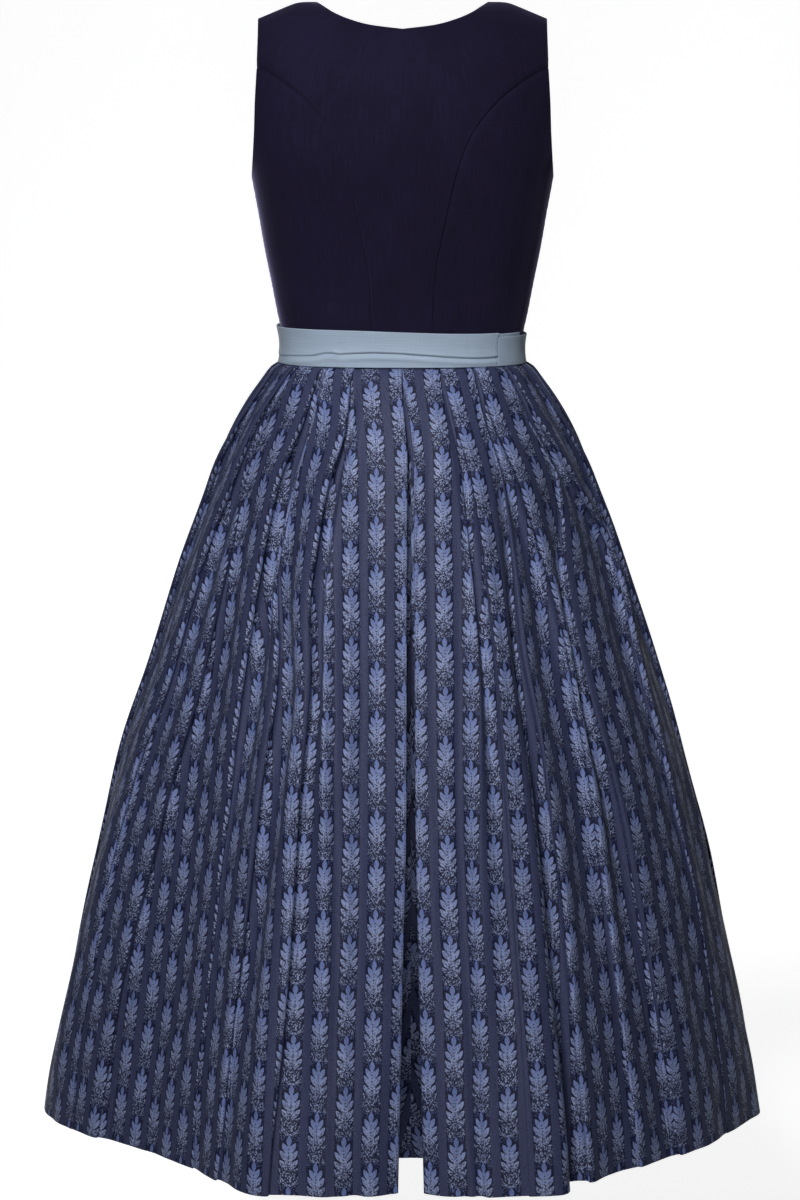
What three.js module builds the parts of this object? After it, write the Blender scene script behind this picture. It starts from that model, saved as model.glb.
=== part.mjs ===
// A sleeveless dirndl in its worn, hollow form, with its apron tied on: fitted bodice, pleated skirt, apron and ties.
// Millimetres, +Z up. The wearer faces -Y, the back faces +Y, the wearer's left is +X.
// The origin lies midway between the two shoulder straps, at the height where they rest on the shoulders.
import * as THREE from "three";

// ---------- driving sizes (mm) ----------
const BODICE_T = 2.0; // lined bodice cloth
const SKIRT_T = 1.6; // jacquard skirt cloth
const APRON_T = 1.2; // apron and tie cloth
const SEAM = 0.3; // gap between sewn pieces
const STRAP_TOP = BODICE_T; // outer face of the straps above the origin
const NECK_HALF = 84; // neck opening at the shoulder seam, half width
const ARM_HALF = 142; // outer end of the shoulder seam
const SLOPE_START = 103; // where the shoulder starts to slope
const SLOPE = 0.42;
const SLOPE_SOFT = 3;
const SLOPE_FADE = 170; // the slope dies out down to the armpit
const RING_N = 2.4; // roundness of the torso's sections
const BODICE_END = -351.5; // waist seam
const SKIRT_TOP = -352.1;
const HEM_Z = -1113;
const BAND_TOP = -316.5; // over tie
const WAISTBAND_TOP = -323.5;
const BAND_END = -351.6;
const LAYER_1 = 1.1; // waistband and under tie, above the bodice
const LAYER_2 = 3.1; // over tie
const JOINT_X = 90.6; // stitched joints of the ties, each side of the centre back
const UNDER_END_X = 112; // the under tie's end, tucked behind the waistband
const BOW_X = 31; // the bow, on the wearer's left front
const APRON_END = -1046;
const CENTRE_SHIFT = -8; // the inverted pleat hangs a little to the wearer's right

// ---------- tables ----------
// Torso sections: height, half width, depth of the back and of the front.
const TORSO = [
  { zeta: 0, half: 165, back: 0, front: 0 },
  { zeta: -3, half: 166, back: 17, front: 15 },
  { zeta: -10, half: 167, back: 36, front: 32 },
  { zeta: -24, half: 167, back: 58, front: 52 },
  { zeta: -50, half: 167, back: 80, front: 76 },
  { zeta: -85, half: 165, back: 94, front: 98 },
  { zeta: -125, half: 159, back: 100, front: 120 },
  { zeta: -150, half: 154.6, back: 100.6, front: 130 },
  { zeta: -171, half: 149, back: 100, front: 137 },
  { zeta: -205, half: 142.5, back: 96, front: 142 },
  { zeta: -240, half: 136.5, back: 90, front: 134 },
  { zeta: -275, half: 129.5, back: 84, front: 118 },
  { zeta: -303, half: 124.2, back: 80.5, front: 108 },
  { zeta: -333, half: 118.2, back: 78.5, front: 103 },
  { zeta: -356, half: 119.2, back: 79, front: 104.5 },
];
// Neck edges, from the shoulder seam to the middle: distance from the middle, height.
const NECK_BACK = [
  { x: 84, z: 2 },
  { x: 76.8, z: -2.2 },
  { x: 67, z: -8.1 },
  { x: 53, z: -14 },
  { x: 32, z: -19.8 },
  { x: 0, z: -23.8 },
];
const NECK_FRONT = [
  { x: 84, z: 2 },
  { x: 82, z: -30 },
  { x: 77, z: -62 },
  { x: 66, z: -92 },
  { x: 40, z: -112 },
  { x: 0, z: -118 },
];
// Arm edges, from the shoulder seam down to the side seam; y is about how far they stand off the side seam's plane.
const ARM_BACK = [
  { z: -14, x: 142, y: 0 },
  { z: -20, x: 141.7, y: 16 },
  { z: -35, x: 141.6, y: 35 },
  { z: -65, x: 142.3, y: 51 },
  { z: -94, x: 143.9, y: 55 },
  { z: -123, x: 145, y: 52 },
  { z: -148, x: 146.6, y: 43 },
  { z: -162, x: 147.9, y: 30 },
  { z: -169.5, x: 148.7, y: 15 },
  { z: -172, x: 148.9, y: 0 },
];
const ARM_FRONT = [
  { z: -14, x: 142, y: 0 },
  { z: -20, x: 141, y: 15 },
  { z: -35, x: 140, y: 33 },
  { z: -65, x: 137, y: 54 },
  { z: -94, x: 136.5, y: 66 },
  { z: -123, x: 139.5, y: 67 },
  { z: -148, x: 144.6, y: 57 },
  { z: -162, x: 147.4, y: 38 },
  { z: -169.5, x: 148.6, y: 18 },
  { z: -172, x: 148.9, y: 0 },
];
// Princess seams, from the arm edge down to the waist.
const PRINCESS_BACK = [
  { z: -61, x: 142.2 },
  { z: -68, x: 128 },
  { z: -76, x: 115.5 },
  { z: -90, x: 96.5 },
  { z: -109, x: 78.5 },
  { z: -125, x: 67.5 },
  { z: -146, x: 58 },
  { z: -179, x: 49 },
  { z: -217, x: 40.5 },
  { z: -258, x: 32.6 },
  { z: -300, x: 30.2 },
  { z: -352, x: 30.5 },
];
const PRINCESS_FRONT = [
  { z: -84, x: 136.4 },
  { z: -96, x: 126 },
  { z: -115, x: 114 },
  { z: -140, x: 103 },
  { z: -170, x: 95 },
  { z: -205, x: 89 },
  { z: -240, x: 79 },
  { z: -280, x: 64 },
  { z: -315, x: 52 },
  { z: -352, x: 48 },
];
// Flare of the skirt: height, share of the way from the waist ring to the hem ring.
const FLARE = [
  { z: -352, g: -0.03 },
  { z: -356.5, g: 0 },
  { z: -360.5, g: 0.0149 },
  { z: -366.5, g: 0.0319 },
  { z: -386, g: 0.088 },
  { z: -406, g: 0.138 },
  { z: -446, g: 0.2213 },
  { z: -486, g: 0.2837 },
  { z: -567, g: 0.4107 },
  { z: -648, g: 0.528 },
  { z: -729, g: 0.6415 },
  { z: -810, g: 0.7342 },
  { z: -892, g: 0.8165 },
  { z: -975, g: 0.893 },
  { z: -1057, g: 0.9652 },
  { z: -1113, g: 1 },
];
const WAIST = { half: 128, back: 87, front: 111, n: 2.4 };
// Hem rings seen from above, centre back to centre front.
const HEM_LEFT = [
  { x: 0, y: 322 },
  { x: 37, y: 332 },
  { x: 90, y: 334 },
  { x: 138, y: 331 },
  { x: 160, y: 311 },
  { x: 184, y: 267 },
  { x: 208, y: 223 },
  { x: 239, y: 177 },
  { x: 285, y: 131 },
  { x: 327, y: 83 },
  { x: 352, y: 42 },
  { x: 363.5, y: 2 },
  { x: 358, y: -65 },
  { x: 330, y: -145 },
  { x: 275, y: -222 },
  { x: 195, y: -285 },
  { x: 100, y: -318 },
  { x: 0, y: -328 },
];
const HEM_RIGHT = [
  { x: 0, y: 322 },
  { x: 30, y: 330 },
  { x: 70, y: 334 },
  { x: 115, y: 332 },
  { x: 158, y: 318 },
  { x: 178, y: 280 },
  { x: 208, y: 243 },
  { x: 252, y: 200 },
  { x: 292, y: 154 },
  { x: 318, y: 107 },
  { x: 342, y: 57 },
  { x: 363.5, y: 2 },
  { x: 358, y: -65 },
  { x: 330, y: -145 },
  { x: 275, y: -222 },
  { x: 195, y: -285 },
  { x: 100, y: -318 },
  { x: 0, y: -328 },
];
// Folds of the skirt, from the centre back to the centre front. at: place round the half ring in percent,
// out: how far it stands out of the ring, both at the LEVELS' heights; cols: columns of facets up to this line.
const LEVELS = [-352, -400, -460, -540, -640, -760, -900, -1113];
const FOLDS_LEFT = [
  { name: "recess", cols: 0, at: [0, 0, 0, 0, 0, 0, 0, 0], out: [0, -5, -11, -18, -28, -48, -80, -130] },
  { name: "lip", cols: 2, at: [0.25, 0.5, 0.6, 0.6, 0.55, 0.5, 0.75, 1], out: [1.2, 4, 5, 5, 5, 4, 3, 0] },
  { name: "crest1", cols: 2, at: [5, 5, 4.8, 4.3, 3.8, 3.6, 3.5, 3.8], out: [1, 2, 3, 4, 4, 4, 3, 3] },
  { name: "valley1", cols: 1, at: [6.5, 7.2, 7.2, 6.8, 6, 5.6, 5.2, 4.9], out: [0.8, 0, -1, -3, -4, -5, -5, -4] },
  { name: "crest2", cols: 1, at: [8, 9.2, 10, 9.2, 8, 7, 6.4, 5.9], out: [0.5, 1, 2, 3, 2, 1, 0, 0] },
  { name: "valley2", cols: 1, at: [8.8, 9.9, 11, 10.8, 9.5, 8.1, 7.2, 6.6], out: [0.2, 0, -1, -2, -3, -2, 0, 1] },
  { name: "crest3", cols: 1, at: [9.3, 10.4, 11.6, 12, 10.89, 9.5, 8.2, 7.4], out: [0, -1, -2, -1, 4, 5, 4, 3] },
  { name: "under1", cols: 1, at: [12.6, 11.2, 12.59, 12.76, 11.34, 10.84, 10.58, 9.8], out: [-1, -5, -8, -10, -9, -9, -8, -5] },
  { name: "edge1", cols: 1, at: [13.3, 12.2, 13.71, 14.04, 12.47, 11.96, 11.62, 12.1], out: [2, 5, 7, 7, 6, 6, 6, 3] },
  { name: "under1b", cols: 2, at: [20, 19.8, 21.3, 21.95, 17.28, 16.75, 17.44, 18.44], out: [0, -1, -3, -6, -10, -11, -8.5, -3.5] },
  { name: "edge1b", cols: 1, at: [20.5, 20.3, 21.8, 22.45, 18.32, 17.95, 18.56, 19.26], out: [0, 0, -1, 0, 4, 5, 4.2, 2] },
  { name: "under2", cols: 1, at: [21.4, 21.74, 23.61, 23.98, 23.75, 23.32, 22.8, 22.8], out: [-1.5, -6, -10, -11, -9, -4, 0, 1] },
  { name: "edge2", cols: 1, at: [22.2, 22.56, 24.89, 25.32, 24.95, 24.08, 23.5, 23.8], out: [2, 5, 7, 7, 7, 6, 5, 4] },
  { name: "under3", cols: 2, at: [29.55, 31.55, 33.7, 33.1, 32.61, 33.72, 35.76, 36.9], out: [0, -1, -3, -6, -10, -10, -7.6, -3] },
  { name: "edge3", cols: 1, at: [30.05, 32.05, 34.2, 33.6, 33.59, 34.78, 36.74, 37.9], out: [0, 0, -1, 0, 3, 4, 3.4, 1.5] },
  { name: "under3b", cols: 2, at: [30.65, 34.51, 36.01, 38.39, 38.46, 41.15, 42.3, 41.4], out: [-1.5, -5, -8, -10, -8, -4, 0, 0] },
  { name: "edge3b", cols: 1, at: [31.15, 35.19, 36.99, 39.51, 39.44, 41.75, 42.8, 42], out: [2, 4, 5, 5, 5, 4, 2.5, 1] },
  { name: "under4", cols: 2, at: [38.6, 42, 45.6, 47.6, 48.4, 48.8, 49.8, 50.4], out: [-1.5, -4, -6, -6, -5, -4, -3, -1.2] },
  { name: "edge4", cols: 1, at: [39.2, 43.6, 48.4, 51.4, 53, 53.4, 54.2, 54.8], out: [2, 4, 5, 5, 4, 3, 2, 0] },
  { name: "under5", cols: 3, at: [48.4, 50.2, 52.6, 54.6, 55.8, 56.2, 56.4, 56.6], out: [-1.5, -4, -6, -7, -6, -5, -4, -1.8] },
  { name: "edge5", cols: 1, at: [49, 51.6, 55.2, 58.4, 60.4, 61.2, 61.6, 61.8], out: [2, 4, 5, 5, 5, 4, 3, 1.2] },
  { name: "under6", cols: 3, at: [58.6, 60.2, 62.2, 64, 65.2, 66, 66.4, 66.8], out: [-1.5, -4, -6, -7, -7, -7, -6, -5] },
  { name: "edge6", cols: 1, at: [59.2, 61.6, 64.6, 67.6, 69.8, 71, 71.6, 72], out: [2, 4, 4, 4, 4, 4, 3, 3] },
  { name: "under7", cols: 3, at: [69, 70.4, 72, 73.6, 74.8, 75.6, 76.2, 76.6], out: [-1.5, -3, -5, -6, -6, -6, -6, -5] },
  { name: "edge7", cols: 1, at: [69.6, 71.8, 74.4, 76.8, 78.6, 79.8, 80.6, 81.2], out: [2, 3, 3, 3, 3, 3, 3, 3] },
  { name: "under8", cols: 3, at: [79.4, 80.6, 82, 83.2, 84.2, 85, 85.6, 86], out: [-1.5, -3, -5, -5, -5, -5, -5, -5] },
  { name: "edge8", cols: 1, at: [80, 82, 84.2, 86.2, 87.8, 88.8, 89.6, 90.2], out: [2, 3, 3, 3, 3, 3, 3, 3] },
  { name: "under9", cols: 3, at: [89.8, 90.8, 92, 93, 93.6, 94, 94.4, 94.6], out: [-1.5, -3, -4, -5, -5, -5, -5, -4] },
  { name: "edge9", cols: 1, at: [90.4, 92, 93.8, 95.2, 96, 96.6, 97, 97.2], out: [2, 3, 3, 3, 3, 3, 3, 2] },
  { name: "front", cols: 2, at: [100, 100, 100, 100, 100, 100, 100, 100], out: [0, 0, 0, 0, 0, 0, 0, 0] },
];
const FOLDS_RIGHT = [
  { name: "recess", cols: 0, at: [0, 0, 0, 0, 0, 0, 0, 0], out: [0, -5, -11, -18, -28, -48, -80, -130] },
  { name: "lip", cols: 2, at: [0.25, 0.5, 0.6, 0.6, 0.55, 0.5, 0.75, 1.05], out: [1.2, 4, 5, 5, 5, 4, 3, 0] },
  { name: "crest1", cols: 1, at: [2.5, 2.1, 1.8, 1.6, 1.6, 1.9, 2.7, 4], out: [1, 2, 3, 3, 3, 4, 4, 3] },
  { name: "valley1", cols: 1, at: [5.8, 4.6, 3.6, 3.2, 3.1, 3.3, 4, 4.9], out: [0.8, 0.5, 0, -1, -1, -1, 0, 0] },
  { name: "crest2", cols: 1, at: [8, 6.7, 5.7, 5.1, 4.6, 4.3, 4.7, 5.5], out: [0.5, 1, 2, 3, 1, 0, 0, 1] },
  { name: "valley2", cols: 1, at: [8.8, 8.4, 8.3, 7.9, 6.7, 5.6, 5.8, 6.2], out: [0.2, -1, -2, -2, -6, -6, -4, -3] },
  { name: "crest3", cols: 1, at: [9.2, 9.02, 9.57, 9.59, 9.2, 7.9, 7.2, 7], out: [0, -3, -5, -3, 5, 6, 5, 3] },
  { name: "under1", cols: 1, at: [9.7, 9.47, 10.02, 10.04, 9.96, 9.7, 9.8, 9.2], out: [-1, -5, -9, -11, -9, -6, -3, 0] },
  { name: "edge1", cols: 2, at: [10.4, 10.22, 11.22, 11.47, 11.24, 10.8, 10.6, 10.5], out: [2, 5, 7, 8, 8, 7, 6, 4] },
  { name: "fold1", cols: 2, at: [17.2, 14.9, 14.8, 13.8, 13, 13.1, 13.3, 13.4], out: [0.5, 1, 1, 2, 3, 3, 3, 3] },
  { name: "under2", cols: 1, at: [18.45, 16.95, 18.15, 17.49, 15.82, 16.46, 16.44, 16.69], out: [0, -1, -3, -7, -12, -14, -16, -20] },
  { name: "edge2", cols: 1, at: [18.95, 17.45, 18.65, 18.01, 16.88, 17.74, 17.86, 18.41], out: [0, 0, -1, 0, 2, 3, 3, 3] },
  { name: "under2b", cols: 1, at: [19.4, 18.49, 20.41, 22.54, 23.8, 24.01, 24.38, 24.94], out: [-1.5, -6, -10, -12, -10, -8, -5.1, -2] },
  { name: "edge2b", cols: 1, at: [19.9, 19.31, 21.69, 23.96, 25, 24.99, 25.12, 25.46], out: [2, 5, 7, 7, 6, 5, 3.4, 1.5] },
  { name: "under3", cols: 2, at: [27.9, 28.45, 31.95, 28.84, 26.78, 28.04, 28.88, 30.42], out: [0, -1, -4, -7, -10, -10, -7.6, -3] },
  { name: "edge3", cols: 1, at: [28.4, 28.95, 32.45, 29.36, 27.82, 29.16, 29.92, 31.18], out: [0, 0, -1, 0, 4, 5, 4.2, 2] },
  { name: "under3b", cols: 2, at: [29.65, 31.01, 35.46, 42.68, 40.86, 40.55, 40.6, 39.6], out: [-1.5, -5, -8, -9, -8, -4, 0, 0] },
  { name: "edge3b", cols: 1, at: [30.15, 31.69, 36.44, 43.72, 41.84, 41.15, 41.2, 40.4], out: [2, 4, 5, 5, 5, 4, 2.5, 1] },
  { name: "under4", cols: 2, at: [37.8, 40.4, 44.2, 47, 48, 48.4, 49.4, 50.2], out: [-1.5, -4, -6, -6, -5, -4, -3, -1.2] },
  { name: "edge4", cols: 1, at: [38.4, 42, 47.2, 51, 52.6, 53.2, 54, 54.6], out: [2, 4, 5, 5, 4, 3, 2, 0] },
  { name: "under5", cols: 3, at: [48.2, 50, 52.4, 54.4, 55.6, 56, 56.2, 56.4], out: [-1.5, -4, -6, -7, -6, -5, -4, -1.8] },
  { name: "edge5", cols: 1, at: [48.8, 51.4, 55, 58.2, 60.2, 61, 61.4, 61.6], out: [2, 4, 5, 5, 5, 4, 3, 1.2] },
  { name: "under6", cols: 3, at: [58.6, 60.2, 62.2, 64, 65.2, 66, 66.4, 66.8], out: [-1.5, -4, -6, -7, -7, -7, -6, -5] },
  { name: "edge6", cols: 1, at: [59.2, 61.6, 64.6, 67.6, 69.8, 71, 71.6, 72], out: [2, 4, 4, 4, 4, 4, 3, 3] },
  { name: "under7", cols: 3, at: [69, 70.4, 72, 73.6, 74.8, 75.6, 76.2, 76.6], out: [-1.5, -3, -5, -6, -6, -6, -6, -5] },
  { name: "edge7", cols: 1, at: [69.6, 71.8, 74.4, 76.8, 78.6, 79.8, 80.6, 81.2], out: [2, 3, 3, 3, 3, 3, 3, 3] },
  { name: "under8", cols: 3, at: [79.4, 80.6, 82, 83.2, 84.2, 85, 85.6, 86], out: [-1.5, -3, -5, -5, -5, -5, -5, -5] },
  { name: "edge8", cols: 1, at: [80, 82, 84.2, 86.2, 87.8, 88.8, 89.6, 90.2], out: [2, 3, 3, 3, 3, 3, 3, 3] },
  { name: "under9", cols: 3, at: [89.8, 90.8, 92, 93, 93.6, 94, 94.4, 94.6], out: [-1.5, -3, -4, -5, -5, -5, -5, -4] },
  { name: "edge9", cols: 1, at: [90.4, 92, 93.8, 95.2, 96, 96.6, 97, 97.2], out: [2, 3, 3, 3, 3, 3, 3, 2] },
  { name: "front", cols: 2, at: [100, 100, 100, 100, 100, 100, 100, 100], out: [0, 0, 0, 0, 0, 0, 0, 0] },
];
const SKIRT_ROWS = [-352.1, -357, -369, -400, -445, -500, -570, -660, -760, -870, -990, -1113];
const SKIRT_CUTS = ["under3", "under6"]; // the lines that the side seams of the skirt follow
// Apron panel: height, half width round the front, how far it stands off the skirt's ring, depth of its gathers.
const APRON = [
  { z: -352.2, half: 118, off: 4.2, wave: 0.5 },
  { z: -360, half: 121, off: 5.8, wave: 1.3 },
  { z: -380, half: 128, off: 7.4, wave: 2.0 },
  { z: -430, half: 146, off: 8.4, wave: 2.6 },
  { z: -520, half: 172, off: 8.8, wave: 3.0 },
  { z: -650, half: 200, off: 9.2, wave: 3.2 },
  { z: -800, half: 222, off: 9.6, wave: 3.6 },
  { z: -930, half: 236, off: 10, wave: 4.0 },
  { z: -1046, half: 246, off: 10.4, wave: 4.4 },
];
const APRON_WAVES = 6; // gathers across the panel
const APRON_COLS = 22;

// ---------- small maths ----------
const clamp = (v, a, b) => Math.min(b, Math.max(a, v));
const smooth = (t) => t * t * (3 - 2 * t);
const powS = (v, e) => Math.sign(v) * Math.pow(Math.abs(v), e);
function lookup(rows, key, value, k) {
  // Linear between the rows; the keys may rise or fall.
  const up = rows[rows.length - 1][key] > rows[0][key];
  const s = up ? 1 : -1;
  if (s * k <= s * rows[0][key]) return rows[0][value];
  for (let i = 1; i < rows.length; i++)
    if (s * k <= s * rows[i][key]) {
      const t = (k - rows[i - 1][key]) / (rows[i][key] - rows[i - 1][key]);
      return rows[i - 1][value] + (rows[i][value] - rows[i - 1][value]) * t;
    }
  return rows[rows.length - 1][value];
}
function spline(p0, p1, p2, p3, t) {
  return 0.5 * (2 * p1 + (p2 - p0) * t + (2 * p0 - 5 * p1 + 4 * p2 - p3) * t * t + (3 * p1 - p0 - 3 * p2 + p3) * t * t * t);
}

// ---------- torso surface ----------
// w counts the TORSO rows from the shoulder ridge (0) down; the ridge is mirrored so that the surface rounds over it.
function torsoAt(w, key) {
  const n = TORSO.length - 1;
  const i = clamp(Math.floor(w), 0, n - 1);
  const odd = key === "back" || key === "front" ? -1 : 1;
  const get = (j) => (j < 0 ? odd * TORSO[-j][key] : j > n ? 2 * TORSO[n][key] - TORSO[n - 1][key] : TORSO[j][key]);
  return spline(get(i - 1), get(i), get(i + 1), get(i + 2), w - i);
}
function rowOf(zeta) {
  let a = 0,
    b = TORSO.length - 1;
  for (let i = 0; i < 40; i++) {
    const m = (a + b) / 2;
    if (torsoAt(m, "zeta") > zeta) a = m;
    else b = m;
  }
  return (a + b) / 2;
}
const drop = (x, zeta) => SLOPE * SLOPE_SOFT * Math.log(1 + Math.exp((Math.abs(x) - SLOPE_START) / SLOPE_SOFT)) * clamp(1 + zeta / SLOPE_FADE, 0, 1);
// phi: 0 at the centre back, 90 degrees at the wearer's left side, 180 at the centre front (radians here).
function torsoPoint(phi, w) {
  const zeta = torsoAt(w, "zeta");
  const s = Math.sin(phi),
    c = Math.cos(phi);
  const x = torsoAt(w, "half") * powS(s, 2 / RING_N);
  const depth = c >= 0 ? torsoAt(w, "back") : torsoAt(w, "front");
  const y = depth * powS(c, 2 / RING_N);
  return new THREE.Vector3(x, y, zeta + STRAP_TOP - drop(x, zeta));
}
// Place (phi, w) of the point with this x and z on the back or the front.
function placeOf(x, z, front) {
  let zeta = z - STRAP_TOP;
  for (let i = 0; i < 12; i++) zeta = Math.min(0, z - STRAP_TOP + drop(x, zeta));
  const w = rowOf(zeta);
  const share = clamp(Math.abs(x) / torsoAt(w, "half"), 0, 1);
  const phi = Math.asin(Math.pow(share, RING_N / 2));
  return { phi: Math.sign(x || 1) * (front ? Math.PI - phi : phi), w };
}
function torsoNormal(phi, w) {
  const e = 1e-3;
  const w0 = Math.max(w - 0.02, 0),
    w1 = w + 0.02;
  const du = torsoPoint(phi + e, w).sub(torsoPoint(phi - e, w));
  const dw = torsoPoint(phi, w1).sub(w < 0.021 ? torsoPoint(phi, w0) : torsoPoint(phi, w0));
  const n = dw.cross(du).normalize();
  const out = new THREE.Vector3(Math.sin(phi), Math.cos(phi), 0.6);
  return n.dot(out) < 0 ? n.negate() : n;
}

// ---------- walls ----------
// points[r][c] and normals[r][c]: a closed wall between the outer grid (lifted by outer) and the inner one.
function wall(points, normals, outer, inner) {
  const R = points.length,
    C = points[0].length;
  const pos = [];
  for (const off of [outer, inner])
    for (let r = 0; r < R; r++)
      for (let c = 0; c < C; c++) {
        const p = points[r][c].clone().addScaledVector(normals[r][c], off);
        pos.push(p.x, p.y, p.z);
      }
  const id = (layer, r, c) => layer * R * C + r * C + c;
  const idx = [];
  const quad = (a, b, c, d) => idx.push(a, b, c, a, c, d);
  for (let r = 0; r + 1 < R; r++)
    for (let c = 0; c + 1 < C; c++) {
      quad(id(0, r, c), id(0, r + 1, c), id(0, r + 1, c + 1), id(0, r, c + 1));
      quad(id(1, r, c), id(1, r, c + 1), id(1, r + 1, c + 1), id(1, r + 1, c));
    }
  for (let r = 0; r + 1 < R; r++) {
    quad(id(0, r, 0), id(1, r, 0), id(1, r + 1, 0), id(0, r + 1, 0));
    quad(id(0, r, C - 1), id(0, r + 1, C - 1), id(1, r + 1, C - 1), id(1, r, C - 1));
  }
  for (let c = 0; c + 1 < C; c++) {
    quad(id(0, 0, c), id(0, 0, c + 1), id(1, 0, c + 1), id(1, 0, c));
    quad(id(0, R - 1, c), id(1, R - 1, c), id(1, R - 1, c + 1), id(0, R - 1, c + 1));
  }
  const g = new THREE.BufferGeometry();
  g.setAttribute("position", new THREE.Float32BufferAttribute(pos, 3));
  g.setIndex(idx);
  // The first triangle of the outer face tells which way round the grid runs.
  const at = (i) => new THREE.Vector3(pos[3 * i], pos[3 * i + 1], pos[3 * i + 2]);
  let vol = 0;
  for (let i = 0; i < idx.length; i += 3) vol += at(idx[i]).dot(at(idx[i + 1]).cross(at(idx[i + 2])));
  if (vol < 0) for (let i = 0; i < idx.length; i += 3) [idx[i + 1], idx[i + 2]] = [idx[i + 2], idx[i + 1]];
  g.setIndex(idx);
  g.computeVertexNormals();
  return g;
}

const root = new THREE.Group();
root.name = "dirndl";
const bodiceCloth = { color: 0x1c1a2c, roughness: 0.85, metalness: 0 };
const skirtCloth = { color: 0x36406e, roughness: 0.6, metalness: 0 };
const apronCloth = { color: 0x8e9fb3, roughness: 0.7, metalness: 0 };
function add(name, geometry, cloth) {
  const mesh = new THREE.Mesh(geometry, new THREE.MeshStandardMaterial(cloth));
  mesh.name = name;
  root.add(mesh);
}

// ---------- bodice panels ----------
// A panel is filled between four edges given as functions of 0..1 that return {phi, w}.
function panel(name, top, bottom, left, right, cols, rows, gap, cloth = bodiceCloth) {
  const points = [],
    normals = [];
  const mix = (a, b, t) => a + (b - a) * t;
  for (let r = 0; r <= rows; r++) {
    const v = r / rows;
    const prow = [],
      nrow = [];
    for (let c = 0; c <= cols; c++) {
      const u = c / cols;
      const T = top(u),
        B = bottom(u),
        L = left(v),
        R = right(v);
      const q = {};
      for (const k of ["phi", "w"]) {
        const corners = mix(mix(top(0)[k], top(1)[k], u), mix(bottom(0)[k], bottom(1)[k], u), v);
        q[k] = mix(T[k], B[k], v) + mix(L[k], R[k], u) - corners;
      }
      const n = torsoNormal(q.phi, q.w);
      const p = torsoPoint(q.phi, q.w);
      // Sewn edges stand half a seam off their line.
      gap(p, u, v);
      prow.push(p);
      nrow.push(n);
    }
    points.push(prow);
    normals.push(nrow);
  }
  add(name, wall(points, normals, 0, -BODICE_T), cloth);
}
const along = (rows, t) => {
  // Even steps by length along a table of places.
  const L = [0];
  for (let i = 1; i < rows.length; i++) L.push(L[i - 1] + Math.hypot(rows[i].x - rows[i - 1].x, rows[i].z - rows[i - 1].z, (rows[i].y || 0) - (rows[i - 1].y || 0)));
  const d = t * L[L.length - 1];
  for (let i = 1; i < rows.length; i++)
    if (d <= L[i] + 1e-9) {
      const k = (d - L[i - 1]) / (L[i] - L[i - 1]);
      const a = rows[Math.max(i - 2, 0)],
        b = rows[i - 1],
        c = rows[i],
        e = rows[Math.min(i + 1, rows.length - 1)];
      return { x: spline(a.x, b.x, c.x, e.x, k), z: spline(a.z, b.z, c.z, e.z, k) };
    }
  return rows[rows.length - 1];
};
const waistW = rowOf(BODICE_END - STRAP_TOP);
const sideTopZ = ARM_BACK[ARM_BACK.length - 1].z;
function edgeTo(side, rows, front) {
  return (t) => {
    const q = along(rows, t);
    return placeOf(side * Math.max(q.x, 1e-6), q.z, front);
  };
}
const cut = (rows, fromZ, toZ) => {
  // The part of a table between two heights.
  const inside = rows.filter((q) => q.z < fromZ - 0.5 && q.z > toZ + 0.5);
  const at = (z) => ({ z, x: lookup(rows, "z", "x", z), y: rows[0].y === undefined ? 0 : lookup(rows, "z", "y", z) });
  return [at(fromZ), ...inside, at(toZ)];
};
const joinEdges = (first, second, share) => (t) => (t < share ? first(t / share) : second((t - share) / (1 - share)));
const backMid = (side) => (t) => {
  const a = placeOf(0, NECK_BACK[NECK_BACK.length - 1].z, false);
  return { phi: 0, w: a.w + (waistW - a.w) * t };
};
const frontMid = (side) => (t) => {
  const a = placeOf(0, NECK_FRONT[NECK_FRONT.length - 1].z, true);
  return { phi: side * Math.PI, w: a.w + (waistW - a.w) * t };
};
const shoulder = (side, front) => (t) => {
  // From the neck to the arm end, along the ridge.
  const x = NECK_HALF + (ARM_HALF - NECK_HALF) * t;
  const phi = Math.asin(Math.pow(x / TORSO[0].half, RING_N / 2));
  return { phi: side * (front ? Math.PI - phi : phi), w: 0 };
};
const ARM_ROWS = 3; // rows of facets beside the arm edge
const SEAM_ROWS = 10; // rows of facets beside the princess seams
const SHARE = 0.62; // of the columns that lie under the neck edge
function halfTop(side, front) {
  const neck = front ? NECK_FRONT : NECK_BACK;
  const n = (t) => {
    const q = along(neck, 1 - t);
    if (t > 0.999) return shoulder(side, front)(0);
    return placeOf(side * Math.max(q.x, 1e-6), q.z, front);
  };
  return joinEdges(n, shoulder(side, front), SHARE);
}
function halfOuter(side, front) {
  // The arm edge, then the princess seam down to the waist.
  const arm = front ? ARM_FRONT : ARM_BACK,
    seam = front ? PRINCESS_FRONT : PRINCESS_BACK;
  const a = edgeTo(side, cut(arm, arm[0].z, seam[0].z), front);
  const b = edgeTo(side, seam, front);
  const start = shoulder(side, front)(1);
  const armPart = (t) => (t < 1e-9 ? start : a(t));
  const f = joinEdges(armPart, b, ARM_ROWS / (ARM_ROWS + SEAM_ROWS));
  const seamBottom = placeOf(side * seam[seam.length - 1].x, BODICE_END, front);
  return (t) => (t > 1 - 1e-9 ? { phi: seamBottom.phi, w: waistW } : f(t));
}
const bottomEdge = (p0, p1) => (t) => ({ phi: p0 + (p1 - p0) * t, w: waistW });
const half = SEAM / 2;
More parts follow.
